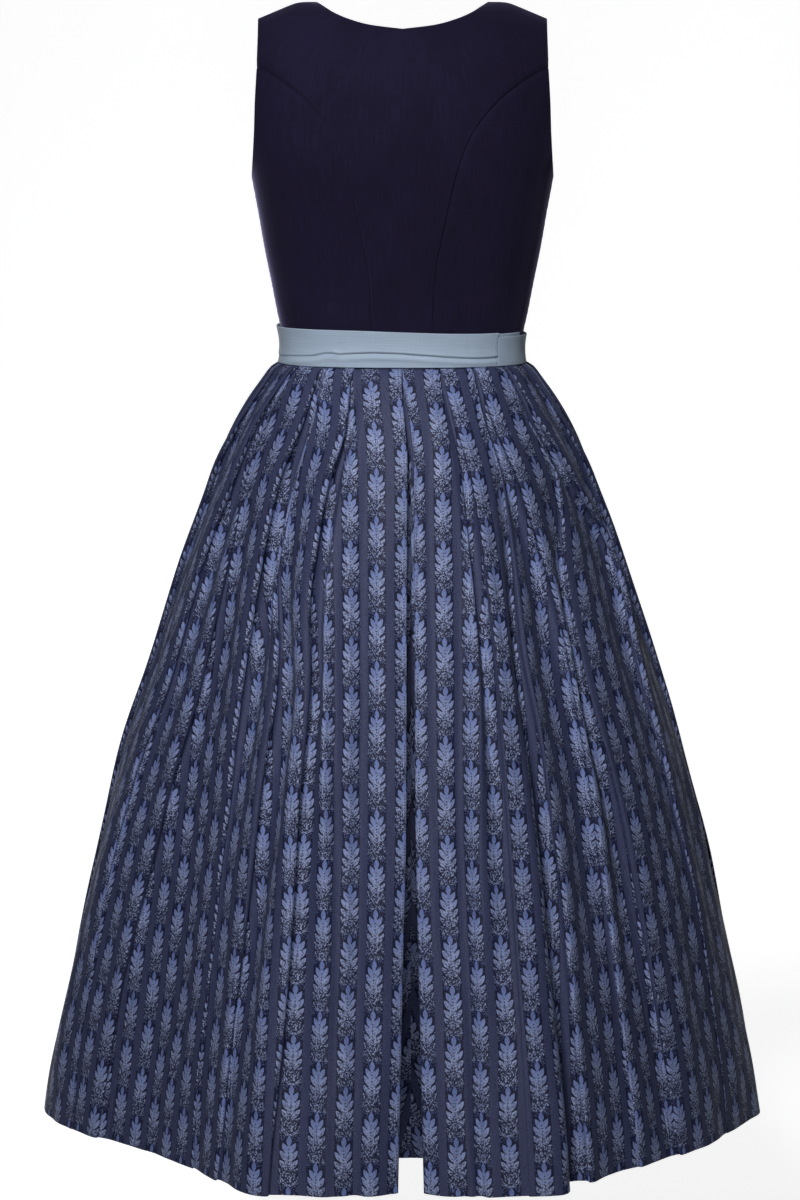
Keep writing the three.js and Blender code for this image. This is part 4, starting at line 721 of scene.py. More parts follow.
def skirt_material(name, reverse=False):
    """Navy jacquard: upright columns of leaf sprays that dissolve downwards into single points, between plain satin stripes."""
    g = Mat(name)
    u, v = g.uv()
    col = g.m("FLOOR", g.m("DIVIDE", u, REPEAT_U))
    x = g.m("SUBTRACT", u, g.m("MULTIPLY", g.m("ADD", col, 0.5), REPEAT_U))
    ax = g.m("ABSOLUTE", x)
    odd = g.m("FLOORED_MODULO", col, 2.0)
    y = g.m("FLOORED_MODULO", g.m("SUBTRACT", g.m("ADD", v, g.m("MULTIPLY", odd, REPEAT_V / 2)), FIRST_TOP), REPEAT_V)
    d = g.m("SUBTRACT", REPEAT_V, y)  # how far below the tip of the spray
    at = g.vec(ax, g.m("MULTIPLY", d, -1.0), 0.0)

    def leaf_at(cx, cy, long, wide, lean):
        """Under 1 inside a leaf that is pointed at both ends."""
        n = g.node("ShaderNodeMapping", {"Vector": at, "Location": (cx, -cy, 0), "Rotation": (0, 0, -math.radians(lean)), "Scale": (wide, long, 1)}, vector_type="TEXTURE")
        q = g.node("ShaderNodeSeparateXYZ", {0: n.outputs[0]})
        return g.m("MULTIPLY_ADD", q.outputs[1], q.outputs[1], g.m("ABSOLUTE", q.outputs[0]))

    leaves = leaf_at(0.0, 4.9, 5.0, 2.5, 0)
    for tip, out, foot, wide in LEAFLETS:
        dx, dy = out - 1.0, foot - tip
        leaves = g.m("MINIMUM", leaves, leaf_at((out + 1.0) / 2, (foot + tip) / 2, math.hypot(dx, dy) / 2 + 0.5, wide, math.degrees(math.atan2(dx, dy))))
    stem = g.m("ADD", g.m("DIVIDE", ax, 3.3), g.range(d, 8.0, 12.5, 0.75, 0.0))
    shape = g.m("MINIMUM", leaves, stem)
    inside = g.range(shape, 0.93, 1.07, 1.0, 0.0)
    outline = g.m("MULTIPLY", g.range(leaves, 1.45, 1.75, 1.0, 0.0), g.m("SUBTRACT", 1.0, inside))

    # Small dark points down the stem and along the middle of the leaflets.
    def dots(off_x, slope, pitch, phase, size, top, bottom):
        dy = g.m("SUBTRACT", g.m("FLOORED_MODULO", g.m("ADD", g.m("MULTIPLY_ADD", ax, slope, d), phase), pitch), pitch / 2)
        dx = g.m("SUBTRACT", ax, off_x)
        r = g.m("ADD", g.m("MULTIPLY", dx, dx), g.m("MULTIPLY", dy, dy))
        hit = g.range(r, (size * 0.6) ** 2, (size * 1.2) ** 2, 1.0, 0.0)
        return g.m("MULTIPLY", hit, g.m("MULTIPLY", g.m("GREATER_THAN", d, top), g.m("LESS_THAN", d, bottom)))
    holes = g.m("MAXIMUM", dots(0.0, 0.0, 2.9, 0.0, 0.75, 11.5, 46.0), dots(4.6, 0.95, 3.9, 1.0, 0.5, 13.0, 46.0))
    # Satin points: single threads over or under, in small slanting cells.
    slant = g.m("MULTIPLY", ax, 0.55)
    cell = g.vec(g.m("FLOOR", g.m("MULTIPLY", u, 1 / 0.95)), g.m("FLOOR", g.m("MULTIPLY", g.m("ADD", d, slant), 1 / 1.0)), col)
    dice = g.node("ShaderNodeTexWhiteNoise", {"Vector": cell}, noise_dimensions="3D").outputs[0]
    fill = g.range(d, 13.0, 36.0, 1.0, 0.34)
    low = g.range(d, 8.0, 28.0, 0.10, 0.50, "SMOOTHSTEP")
    top = g.range(d, 1.0, 9.5, 0.36, 0.0, "SMOOTHSTEP")
    width = g.range(ax, 7.6, 10.2, 1.0, 0.0)
    ground = g.m("MULTIPLY", g.m("MAXIMUM", low, top), width)
    ground = g.m("MULTIPLY", ground, g.m("SUBTRACT", 1.0, g.m("MULTIPLY", outline, g.range(d, 24.0, 44.0, 0.95, 0.25))))
    # A point is partly over and partly under, so its strength is soft.
    def point(chance):
        return g.range(g.m("SUBTRACT", chance, dice), -0.12, 0.22, 0.0, 1.0)
    in_leaf = g.m("MULTIPLY", inside, g.m("MAXIMUM", point(fill), g.range(d, 13.0, 34.0, 0.6, 0.05)))
    in_leaf = g.m("MULTIPLY", in_leaf, g.m("SUBTRACT", 1.0, g.m("MULTIPLY", holes, 0.85)))
    on_ground = g.m("MULTIPLY", g.m("MULTIPLY", g.m("SUBTRACT", 1.0, inside), g.m("MULTIPLY", g.m("GREATER_THAN", ground, 0.01), point(ground))), 0.52)
    light = g.m("MAXIMUM", in_leaf, on_ground)
    stripe = g.range(ax, 8.8, 10.0, 0.0, 1.0, "SMOOTHSTEP")
    # Plain stripes carry a quiet grain; the ground beside the leaves is darker.
    threads = g.noise(g.vec(g.m("MULTIPLY", u, 0.9), g.m("MULTIPLY", v, 0.10)), 1.0, 3.0, 0.65)
    twill = g.noise(g.vec(g.m("MULTIPLY", g.m("ADD", u, v), 0.55), g.m("MULTIPLY", g.m("SUBTRACT", u, v), 0.28), 2.0), 1.0, 2.0, 0.6)
    slow = g.noise(g.vec(g.m("MULTIPLY", u, 0.02), g.m("MULTIPLY", v, 0.012), 4.0), 1.0, 2.0, 0.5)
    grain = g.m("ADD", g.m("MULTIPLY", threads, 0.45), g.m("MULTIPLY", twill, 0.55))
    plain = g.mix(g.range(grain, 0.30, 0.70), lin("252946"), lin("424868"))
    navy = g.mix(g.range(grain, 0.30, 0.70), lin("0d0f28"), lin("191b3a"))
    leaf_top = g.mix(g.range(grain, 0.32, 0.68), lin("50619a"), lin("7382b2"))
    leaf_low = g.mix(g.range(grain, 0.32, 0.68), lin("7480a9"), lin("9aa5c8"))
    leaf = g.mix(g.range(d, 5.0, 24.0), leaf_top, leaf_low)
    base = g.mix(stripe, navy, plain)
    if reverse:
        base = g.mix(g.m("MULTIPLY", light, 0.22), g.mix(0.5, base, lin("1b1a30")), leaf_top)
    else:
        base = g.mix(light, base, leaf)
    base = g.scale_colour(base, g.range(slow, 0.2, 0.8, 0.93, 1.07))
    height = g.m("ADD", g.m("MULTIPLY", light, 1.0), g.m("MULTIPLY", grain, 0.5))
    g.bump(height, 0.00012, 0.5)
    rough = g.m("SUBTRACT", 0.62, g.m("MULTIPLY", light, 0.12))
    return g.finish(base, rough, 0.04, 0.4, (0.7, 0.75, 1, 1), 0.22)


def thread_material(name, colour):
    g = Mat(name)
    tc = g.node("ShaderNodeTexCoord")
    n = g.noise(tc.outputs["Object"], 2500.0, 2.0, 0.6)
    base = g.scale_colour(colour, g.range(n, 0.2, 0.8, 0.8, 1.15))
    g.bump(n, 0.00005, 0.6)
    return g.finish(base, 0.6, 0.1)


bodice_out, bodice_in = bodice_material("bodice_cloth"), bodice_material("bodice_inside", 0.8)
skirt_out, skirt_in = skirt_material("skirt_jacquard"), skirt_material("skirt_reverse", True)
apron_out, apron_in = apron_material("apron_cloth"), apron_material("apron_inside", 0.92)
waist_out = apron_material("waistband_cloth", 0.97)
thread = thread_material("tie_thread", lin("7c8b9e"))


# ---------- bodice ----------
# Soft troughs of the worn cloth: x, z, half length, half width, turn in degrees, depth; on the back and on the front.
BACK_TROUGHS = [(52, -292, 34, 5, 6, 0.7), (-46, -286, 40, 5, -9, 0.8), (-78, -262, 30, 6, -22, 0.6), (84, -250, 26, 6, 20, 0.5),
                (20, -302, 24, 3.5, 2, 0.5), (-14, -276, 30, 6, -3, 0.4), (104, -178, 26, 9, 62, 0.7), (-106, -170, 30, 9, -64, 0.6),
                (118, -118, 24, 8, 70, 0.5), (-119, -112, 22, 8, -72, 0.5)]
FRONT_TROUGHS = [(48, -288, 30, 5, 8, 0.7), (-52, -294, 34, 5, -6, 0.7), (88, -236, 26, 7, 30, 0.7), (-90, -230, 28, 7, -32, 0.8),
                 (104, -150, 26, 8, 50, 0.7), (-106, -154, 24, 8, -48, 0.6), (22, -262, 24, 5, 5, 0.4), (-24, -250, 22, 5, -4, 0.5)]


def troughs(P, rows):
    out = np.zeros(P.shape[:2])
    for x, z, a, b, turn, depth in rows:
        c, s = math.cos(math.radians(turn)), math.sin(math.radians(turn))
        dx, dz = P[..., 0] - x, P[..., 2] - z
        p, q = dx * c + dz * s, -dx * s + dz * c
        out -= depth * np.exp(-(p / a) ** 2 - (q / b) ** 2)
    return out


def shape_panel(P, N, front, seam_cols, side_seam=None, open_rows=True):
    """Lowers the seams into grooves with small puckers and adds the troughs. seam_cols: columns (0 or -1) that are
    seams.
    """
    d = np.zeros(P.shape[:2])
    A = arc_u(P)
    for c in seam_cols:
        dist = A if c == 0 else A[:, -1:] - A
        run = -arc_v(P)[:, c][:, None]
        live = smooth((run - 4) / 10)
        puck = 0.22 * np.sin(run * TAU / 9.3 + 1.7 * np.sin(run / 23.0)) * (0.6 + 0.4 * np.sin(run / 17.0))
        d += -0.95 * np.exp(-(dist / 1.5) ** 2) + 0.30 * np.exp(-((dist - 3.4) / 2.0) ** 2) + live * puck * np.exp(-dist / 6.5)
    d += troughs(P, FRONT_TROUGHS if front else BACK_TROUGHS)
    return P + N * d[..., None]


def flat_size(P):
    w = np.linalg.norm(np.diff(P, axis=1), axis=2).sum(1).max() / 1000
    l = np.linalg.norm(np.diff(P, axis=0), axis=2).sum(0).max() / 1000
    a = sheet_area(P) / 1e6
    return round(float(w), 4), round(float(l), 4), float(min(a, w * l))


SIZES = {}


def ring_width(start, phi, w):
    """Widest run along the level rings from the middle line to a half panel's outer edge, in metres."""
    t = np.linspace(0, 1, 61)[None, :]
    rows = torso_point(start + (phi[:, -1:] - start) * t, w[:, -1:] + 0 * t)
    return float(np.linalg.norm(np.diff(rows, axis=1), axis=2).sum(1).max() / 1000)


def declare(ob, P, width=None):
    w, l, a = flat_size(P)
    if width is not None:
        w, a = round(width, 4), min(a, width * l)
    SIZES[ob.name] = (w, l, round(a, 4))
    return ob


V_BODICE = steps(96, 0.004, [JOIN])
half = SEAM / 2


def upright_uv(P):
    """Cloth coordinates with the grain upright: u round the body from its middle line, v up."""
    phi_len = np.arctan2(P[..., 0], P[..., 1]) * 118.0
    return phi_len, P[..., 2].copy()


def add_bodice(name, P, N, front, width=None):
    phi = np.arctan2(P[..., 0], np.abs(P[..., 1]) + 1e-6)
    U = phi * 118.0
    Uq = np.stack([U[:, :-1], U[:, 1:]], -1)
    ob = shell(name, P, N, 0.0, -BODICE_T * 0.8, [bodice_out, bodice_in], Uq, P[..., 2].copy())
    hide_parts(name)
    return declare(ob, P, width=width)


# Centre back: one panel over both sides.
u_half = steps(42, 0.012, [SHARE])
halves = {}
for side in (1, -1):
    outer, end_phi = half_outer(side, False)
    w_top = float(place_of(1e-6, NECK_BACK[-1][1], False)[1])
    mid = lambda t, w_top=w_top: (0 * t, w_top + (WAIST_W - w_top) * t)
    bottom = lambda t, e=end_phi: (e * t, WAIST_W + 0 * t)
    phi, w = even_grid(*coons(half_top(side, False), bottom, mid, outer, u_half, V_BODICE, 3.0))
    P, N = torso_point(phi, w), torso_normal(phi, w)
    P[..., 1] += half
    P[V_BODICE > 0.2, -1, 0] -= side * half * 1.2
    dist = arc_u(P)[:, -1:] - arc_u(P)
    run = -arc_v(P)[:, -1][:, None]
    on_seam = smooth((V_BODICE[:, None] - JOIN + 0.004) / 0.01)
    puck = 0.22 * np.sin(run * TAU / 9.3 + 1.7 * np.sin(run / 23.0))
    d = on_seam * (-0.95 * np.exp(-(dist / 1.5) ** 2) + 0.30 * np.exp(-((dist - 3.4) / 2.0) ** 2) + puck * np.exp(-dist / 6.5) * 0.8)
    d = d + troughs(P, BACK_TROUGHS)
    P = P + N * d[..., None]
    halves[side] = (P, N)
    back_width = 2 * ring_width(0.0, phi, w)
P = np.concatenate([halves[-1][0][:, ::-1], halves[1][0][:, 1:]], 1)
N = np.concatenate([halves[-1][1][:, ::-1], halves[1][1][:, 1:]], 1)
add_bodice("bodice_back", P, N, False, back_width)

side_top_z = ARM_BACK[-1][0]
w_side_top = float(row_of(side_top_z - STRAP_TOP))
for side in (1, -1):
    tag = "L" if side > 0 else "R"
    side_seam = lambda t, side=side: (side * math.pi / 2 + 0 * t, w_side_top + (WAIST_W - w_side_top) * t)
    for front in (False, True):
        arm, seam = (ARM_FRONT, PRINCESS_FRONT) if front else (ARM_BACK, PRINCESS_BACK)
        a = edge_to(side, cut_rows(arm, seam[0][0], side_top_z), front)
        b = edge_to(side, xz(seam), front)
        end = float(place_of(side * seam[-1][1], BODICE_END, front)[0])
        def top(t, a=a, side=side):
            p, w = a(t)
            return np.where(t > 1 - 1e-9, side * math.pi / 2, p), np.where(t > 1 - 1e-9, w_side_top, w)
        def left(t, b=b, end=end):
            p, w = b(t)
            return np.where(t > 1 - 1e-9, end, p), np.where(t > 1 - 1e-9, WAIST_W, w)
        bottom = lambda t, end=end, side=side: (end + (side * math.pi / 2 - end) * t, WAIST_W + 0 * t)
        phi, w = coons(top, bottom, left, side_seam, steps(40, 0.012), steps(74, 0.005))
        P, N = torso_point(phi, w), torso_normal(phi, w)
        P[..., 1] += -half if front else half
        P[:, 0, 0] += side * half * 1.2
        P = shape_panel(P, N, front, [0, -1])
        add_bodice(("bodice_side_front_" if front else "bodice_side_back_") + tag, P, N, front)
    outer, end_phi = half_outer(side, True)
    w_top = float(place_of(1e-6, NECK_FRONT[-1][1], True)[1])
    mid = lambda t, w_top=w_top, side=side: (side * math.pi + 0 * t, w_top + (WAIST_W - w_top) * t)
    bottom = lambda t, e=end_phi, side=side: (side * math.pi + (e - side * math.pi) * t, WAIST_W + 0 * t)
    phi, w = even_grid(*coons(half_top(side, True), bottom, mid, outer, steps(44, 0.012, [SHARE]), V_BODICE, 3.0))
    P, N = torso_point(phi, w), torso_normal(phi, w)
    P[..., 1] -= half
    P[:, 0, 0] += side * half
    P[V_BODICE > 0.3, -1, 0] -= side * half * 1.2
    A = arc_u(P)
    dist = A[:, -1:] - A
    run = -arc_v(P)[:, -1][:, None]
    on_seam = smooth((V_BODICE[:, None] - JOIN + 0.004) / 0.01)
    d = on_seam * (-0.95 * np.exp(-(dist / 1.5) ** 2) + 0.30 * np.exp(-((dist - 3.4) / 2.0) ** 2))
    d = d - 0.8 * np.exp(-(A / 1.3) ** 2) + 0.25 * np.exp(-((A - 3.0) / 2.0) ** 2) + troughs(P, FRONT_TROUGHS)
    P = P + N * d[..., None]
    add_bodice("bodice_front_" + tag, P, N, True, ring_width(side * math.pi, phi, w))

# ---------- skirt ----------
RING_STEPS = 400


def evenly(pts, n):
    pts = np.asarray(pts, float)
    L = np.concatenate([[0], np.cumsum(np.linalg.norm(np.diff(pts, axis=0), axis=1))])
    d = np.linspace(0, L[-1], n + 1)
    return np.stack([np.interp(d, L, pts[:, 0]), np.interp(d, L, pts[:, 1])], 1)


_a = np.linspace(0, math.pi, 2001)
WAIST_RING = evenly(np.stack([WAIST_HALF * np.sin(_a).clip(0) ** (2 / 2.4), np.where(np.cos(_a) > 0, WAIST_BACK, WAIST_FRONT) * pows(np.cos(_a), 2 / 2.4)], 1), RING_STEPS)


def hem_ring(rows):
    p = np.array(rows, float)
    ext = np.concatenate([[[-p[1, 0], p[1, 1]]], p, [[-p[-2, 0], p[-2, 1]]]])
    out = []
    for i in range(1, len(ext) - 2):
        t = np.arange(40)[:, None] / 40
        out.append(spline4(ext[i - 1], ext[i], ext[i + 1], ext[i + 2], t))
    out.append(p[-1:])
    return evenly(np.concatenate(out), RING_STEPS)


HEM = {1: hem_ring(HEM_LEFT), -1: hem_ring(HEM_RIGHT)}
FL = np.array(FLARE, float)


def flare(z):
    return curve(-FL[:, 0], FL[:, 1], -np.asarray(z, float))


def ring_raw(side, s, g):
    k = np.clip(s, 0, 1) * RING_STEPS
    i = np.minimum(np.floor(k).astype(int), RING_STEPS - 1)
    t = (k - i)[..., None]
    a = WAIST_RING[i] + (WAIST_RING[i + 1] - WAIST_RING[i]) * t
    b = HEM[side][i] + (HEM[side][i + 1] - HEM[side][i]) * t
    return a + (b - a) * g[..., None]


def ring_point(side, s, z):
    """Point of the smooth ring and the outward direction there, for arrays s and z."""
    s, z = np.broadcast_arrays(np.asarray(s, float), np.asarray(z, float))
    g = flare(z)
    p = ring_raw(side, s, g)
    q = ring_raw(side, np.clip(s + 0.004, 0, 1), g) - ring_raw(side, np.clip(s - 0.004, 0, 1), g)
    nx, ny = -q[..., 1], q[..., 0].copy()
    nx = np.where((s < 0.002) | (s > 0.998), 0, nx)
    l = np.maximum(np.hypot(nx, ny), 1e-9)
    shift = CENTRE_SHIFT * smooth((-352 - z) / 90) * np.clip(1 - s / 0.3, 0, 1)
    return side * p[..., 0] + shift, p[..., 1], side * nx / l, ny / l


def ring_length(side, z):
    g = flare(z)
    out = []
    for gi in np.atleast_1d(g):
        r = WAIST_RING + (HEM[side] - WAIST_RING) * gi
        out.append(np.linalg.norm(np.diff(r, axis=0), axis=1).sum())
    return np.array(out)


ROWS = np.concatenate([[-352.1, -354, -357, -361, -366], np.linspace(-372, -1108, 132), [-1111.6, -1113]])
LEV = -np.array(LEVELS, float)


def skirt_side(side, folds, grain):
    """One half of the skirt: points [row, column], the cloth's u at the left and right of each cell, and the columns of the cutting lines."""
    z = ROWS
    L = ring_length(side, z)
    at = np.stack([curve(LEV, f[1], -z) / 100 for f in folds], 1)
    out = np.stack([curve(LEV, f[2], -z) for f in folds], 1)
    names = [f[0] for f in folds]
    S, O = [], []
    line_col = {}
    nose = {}
    turn = {}

    def r_of(i):
        gap = (at[:, i] - at[:, i - 1]) * L
        rs = np.minimum(4.5, 0.4 * gap)
        ro = np.clip((out[:, i] - out[:, i - 1]) / 3, 0.15, 3.4)
        return rs, ro

    count = 0
    for i in range(len(folds) - 1):
        nxt = names[i + 1]
        is_edge = nxt.startswith("edge") or nxt == "lip"
        length = float(((at[:, i + 1] - at[:, i]) * L).max())
        if is_edge:
            rs, ro = r_of(i + 1)
            n1, n2 = max(5, int(length / 4.5)), 7
            ta = np.arange(n1) / n1
            for t in ta:
                S.append(at[:, i] + (at[:, i + 1] + rs / L - at[:, i]) * t)
                O.append(out[:, i] + (out[:, i + 1] - 2 * ro - out[:, i]) * t ** 4)
            for k in range(n2):
                th = -math.pi / 2 + math.pi * k / n2
                S.append(at[:, i + 1] + rs / L * (1 - math.cos(th)))
                O.append(out[:, i + 1] - ro + ro * math.sin(th))
            line_col[names[i]] = count
            turn[nxt] = count + n1 if nxt != "lip" else 0
            count += n1 + n2
            nose[nxt] = count  # the column where the face begins, on top of the fold
            line_col[nxt] = count
        else:
            n = max(4, int(math.ceil(length / 4.6)))
            start = at[:, i].copy()
            if names[i].startswith("edge") or names[i] == "lip":
                rs, ro = r_of(i)
                start = start + rs / L
            line_col[names[i]] = count
            for t in np.arange(n) / n:
                S.append(start + (at[:, i + 1] - start) * t)
                O.append(out[:, i] + (out[:, i + 1] - out[:, i]) * smooth(t))
            count += n
    S.append(at[:, -1])
    O.append(out[:, -1])
    line_col[names[-1]] = count
    S, O = np.stack(S, 1), np.stack(O, 1)
    Z = np.broadcast_to(z[:, None], S.shape)
    # Slow unevenness of the hanging cloth.
    env = smooth((-400 - Z) / 260)
    near = smooth(S / 0.02) * smooth((1 - S) / 0.02)
    ph = 0.0 if side > 0 else 2.1
    wob = (1.1 * np.sin(TAU * (S * 9.3 + Z / 430) + 0.7 + ph) + 0.8 * np.sin(TAU * (S * 17.1 - Z / 260) + 2.0 + ph)
           + 0.6 * np.sin(TAU * (S * 5.1 + Z / 170) + 1.1 * ph) + 0.35 * np.sin(TAU * (S * 31 + Z / 120) + 4.0))
    O = O + env * near * wob * 0.8
    x, y, nx, ny = ring_point(side, S, Z)
    P = np.stack([x + nx * O, y + ny * O, Z], -1)
    A = np.concatenate([np.zeros((len(z), 1)), np.cumsum(np.linalg.norm(np.diff(P[..., :2], axis=1), axis=2), 1)], 1)
    Uq = np.zeros((len(z), S.shape[1] - 1, 2))
    faces = []
    for c in range(S.shape[1] - 1):
        # The cloth under a fold goes on from the face before it, up to the hidden turn.
        current = max((n for n in turn if turn[n] <= c), key=lambda n: turn[n])
        faces.append(current)
        k = nose[current]
        g0, g1 = grain[current]
        lies = g0 + (g1 - g0) * (z - GRAIN_Z[0]) / (GRAIN_Z[1] - GRAIN_Z[0])
        Uq[:, c, 0] = lies + A[:, c] - A[:, k]
        Uq[:, c, 1] = lies + A[:, c + 1] - A[:, k]
    line_col["faces"] = faces
    return P, Uq, line_col


halfs = {1: skirt_side(1, FOLDS_LEFT, GRAIN_LEFT), -1: skirt_side(-1, FOLDS_RIGHT, GRAIN_RIGHT)}
# How long the cloth is from the hem up, in each column, so that the leaf rows run level along the hem.
for side, (P, Uq, cols) in halfs.items():
    tag = "L" if side > 0 else "R"
    outward = np.stack([P[..., 0], P[..., 1], 0 * P[..., 0]], -1)
    N = grid_normals(P, outward)
    dv = np.linalg.norm(np.diff(P, axis=0), axis=2)
    V = np.concatenate([np.cumsum(dv[::-1], 0)[::-1], np.zeros((1, P.shape[1]))], 0)
    a, b = cols[CUT_LINES[0]], cols[CUT_LINES[1]]
    for name, c0, c1 in (("skirt_back_", 0, a), ("skirt_side_", a, b), ("skirt_front_", b, P.shape[1] - 1)):
        Q = P[:, c0:c1 + 1].copy()
        for e, q in ((0, 1), (-1, -2)):
            step = Q[:, q] - Q[:, e]
            step[:, 2] = 0
            Q[:, e] += step / np.maximum(np.linalg.norm(step, axis=1, keepdims=True), 1e-6) * 0.01
        ob = shell(name + tag, Q, N[:, c0:c1 + 1], 0.0, -1.0, [skirt_out, skirt_in], Uq[:, c0:c1], V[:, c0:c1 + 1])
        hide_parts(name + tag)
        declare(ob, Q)

# ---------- apron and ties ----------
def bend(phi, z, lift):
    """Points on the torso at (phi, z), lifted straight out, and the outward directions."""
    w = row_of(z - STRAP_TOP)
    n = torso_normal(phi, w)
    n[..., 2] = 0
    n /= np.linalg.norm(n, axis=-1, keepdims=True)
    p = torso_point(phi, w)
    p[..., 2] = z
    return p + n * np.asarray(lift)[..., None], n


def band_phi(x, front):
    return float(place_of(x, -335, front)[0])


right_joint, left_joint = band_phi(-JOINT_X, False), band_phi(JOINT_X, False)
under_end = band_phi(-UNDER_END_X, False)
GAP_PHI = 0.003
KNOT_HALF, KNOT_D = 12, 13
bow_phi = band_phi(BOW_X + KNOT_HALF + 1.5, True)


def ripple(phi, z, seed, size):
    """Slow slack of a tied band."""
    return size * (np.sin(phi * 5.3 + z / 21 + seed) * 0.5 + np.sin(phi * 11.7 - z / 13 + 2.3 * seed) * 0.3 + np.sin(phi * 23 + z / 9 + seed) * 0.2)


def add_band(name, phi0, phi1, top, lift, cols, mats, extra=None, rows=18, tilt=None):
    t, v = steps(cols, 0.002), steps(rows, 0.02)
    phi = (phi0 + (phi1 - phi0) * t)[None, :] + 0 * v[:, None]
    share = v[:, None] + 0 * phi
    d = 0 * phi
    if extra is not None:
        share, d = extra(phi, v[:, None] + 0 * phi)
    top = top + 0 * phi if tilt is None else top + tilt(phi)
    z = top + (BAND_END - top) * share
    P, N = bend(phi, z, lift(phi) + d + ripple(phi, z, len(name), 0.35) * smooth(v[:, None] / 0.15) * smooth((1 - v[:, None]) / 0.15))
    ob = shell(name, P, N, APRON_T * 0.9, 0.0, mats)
    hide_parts(name)
    declare(ob, P)
    return P, N


def over_crease(phi, v):
    """The over tie's long crease: rows follow it, the cloth above laps over the cloth below."""
    x = torso_at(row_of(-335 - STRAP_TOP), 1) * pows(np.sin(phi), 2 / RING_N)
    back = np.cos(phi) > 0
    c = np.array(CREASE, float)[::-1]
    f = np.where(back, np.interp(x, c[:, 0], c[:, 1]), 0.80)
    f = np.clip(f, 0.5, 0.9)
    share = np.where(v < 0.62, f * v / 0.62, f + (1 - f) * (v - 0.62) / 0.38)
    dist = (share - f) * (BAND_TOP - BAND_END)
    deep = np.where(back, np.interp(x, [-93, -86, -60, 20, 66, 90, 112, 118], [0.5, 0.9, 1.0, 1.0, 0.8, 0.8, 0.5, 0.4]), 0.35)
    d = deep * np.where(dist <= 0, 1.9 * np.exp(dist / 5.5), -0.85 * np.exp(-dist / 2.0) + 0.9 * np.exp(-((dist - 5.5) / 2.4) ** 2))
    # A small pucker where two creases meet.
    d += np.where(back, 0.8 * np.exp(-((x - 63) / 5) ** 2 - (dist / 3.0) ** 2), 0)
    return share, d


def over_tilt(phi):
    """The over tie's top edge runs a little down to the right across the back."""
    x = torso_at(row_of(-335 - STRAP_TOP), 1) * pows(np.sin(phi), 2 / RING_N)
    return np.where(np.cos(phi) > 0, 0.8 - 3.8 * smooth((70 - x) / 150), 0.8)


P_over, N_over = add_band("apron_tie_over", right_joint + GAP_PHI, bow_phi, BAND_TOP, lambda p: LAYER_2 + 0 * p, 300, [apron_out, apron_in], over_crease,
                          40, over_tilt)


def waist_lift(phi):
    a, b = TAU + under_end - 0.6, TAU + under_end - 0.22
    return LAYER_1 + (LAYER_2 - LAYER_1) * smooth((phi - a) / (b - a))


P_waist, N_waist = add_band("apron_waistband", left_joint + GAP_PHI, TAU + right_joint - GAP_PHI, WAISTBAND_TOP, waist_lift, 360, [waist_out, apron_in], None, 14)
add_band("apron_tie_under", under_end, left_joint - GAP_PHI, BAND_TOP - 4, lambda p: LAYER_1 + 0 * p, 160, [apron_out, apron_in], None, 12)

# Apron panel.
AP = np.array(APRON, float)


def apron_grid(ks, zs):
    half_w, off, wave = (curve(-AP[:, 0], AP[:, c], -zs) for c in (1, 2, 3))
    P = np.zeros((len(zs), len(ks), 3))
    for side in (1, -1):
        m = (ks < 0) if side < 0 else (ks >= 0)
        L = ring_length(side, zs)
        k = ks[m][None, :]
        s = 1 - np.abs(k) * (half_w / L)[:, None]
        Z = zs[:, None] + 0 * s
        x, y, nx, ny = ring_point(side, s, Z)
        # Near the middle the ring's direction is straight ahead.
        w = wave[:, None] * np.sin(k * APRON_WAVES * math.pi + 0.9 * np.sin(Z / 170) + 0.6 * k)
        fine = 0.45 * np.sin(k * 61 + 0.7 * np.sin(Z / 60)) * np.exp(-(-352 - Z) / 55)
        o = off[:, None] + w + fine + 0.5 * np.sin(k * 23 + Z / 140) * smooth((-400 - Z) / 200)
        P[:, m] = np.stack([x + nx * o, y + ny * o, Z], -1)
    return P


ks = np.unique(np.concatenate([np.linspace(-1, 1, 181), [-0.994, 0.994]]))
zs = np.concatenate([[-352.2, -354, -357], np.linspace(-361, -1042, 110), [-1044.8, -1046]])
P = apron_grid(ks, zs)
N = grid_normals(P, np.stack([P[..., 0] * 0.2, P[..., 1], 0 * P[..., 0]], -1))
# Narrow turned hems at the sides and the lower edge.
side_d = (1 - np.abs(ks))[None, :] * 236.0
low_d = (zs + 1046)[:, None]
ridge = -0.35 * np.exp(-((side_d - 12) / 1.2) ** 2) - 0.35 * np.exp(-((low_d - 30) / 1.2) ** 2)
P = P + N * ridge[..., None]
dv = np.linalg.norm(np.diff(P, axis=0), axis=2)
V = np.concatenate([np.cumsum(dv[::-1], 0)[::-1], np.zeros((1, P.shape[1]))], 0)
U = ks[None, :] * 236.0 + 0 * V
# The panel's threads run down the cloth, so its slubs do too.
ob = shell("apron_panel", P, N, APRON_T * 0.8, 0.0, [apron_out, apron_in], np.stack([V[:, :-1], V[:, 1:]], -1), U)
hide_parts("apron_panel")
declare(ob, P)

# Bow.
bow_w = row_of(np.array(-334.0 - STRAP_TOP))
bow_p0 = np.array(band_phi(BOW_X, True))
bow_at = torso_point(bow_p0, bow_w)
bow_n = torso_normal(bow_p0, bow_w)
bow_n[2] = 0
bow_n /= np.linalg.norm(bow_n)
bow_u = np.array([-bow_n[1], bow_n[0], 0])
if bow_u[0] < 0:
    bow_u = -bow_u
knot_c = bow_at + bow_n * (LAYER_2 + 1.2 + KNOT_D / 2)
knot_c[2] = -334
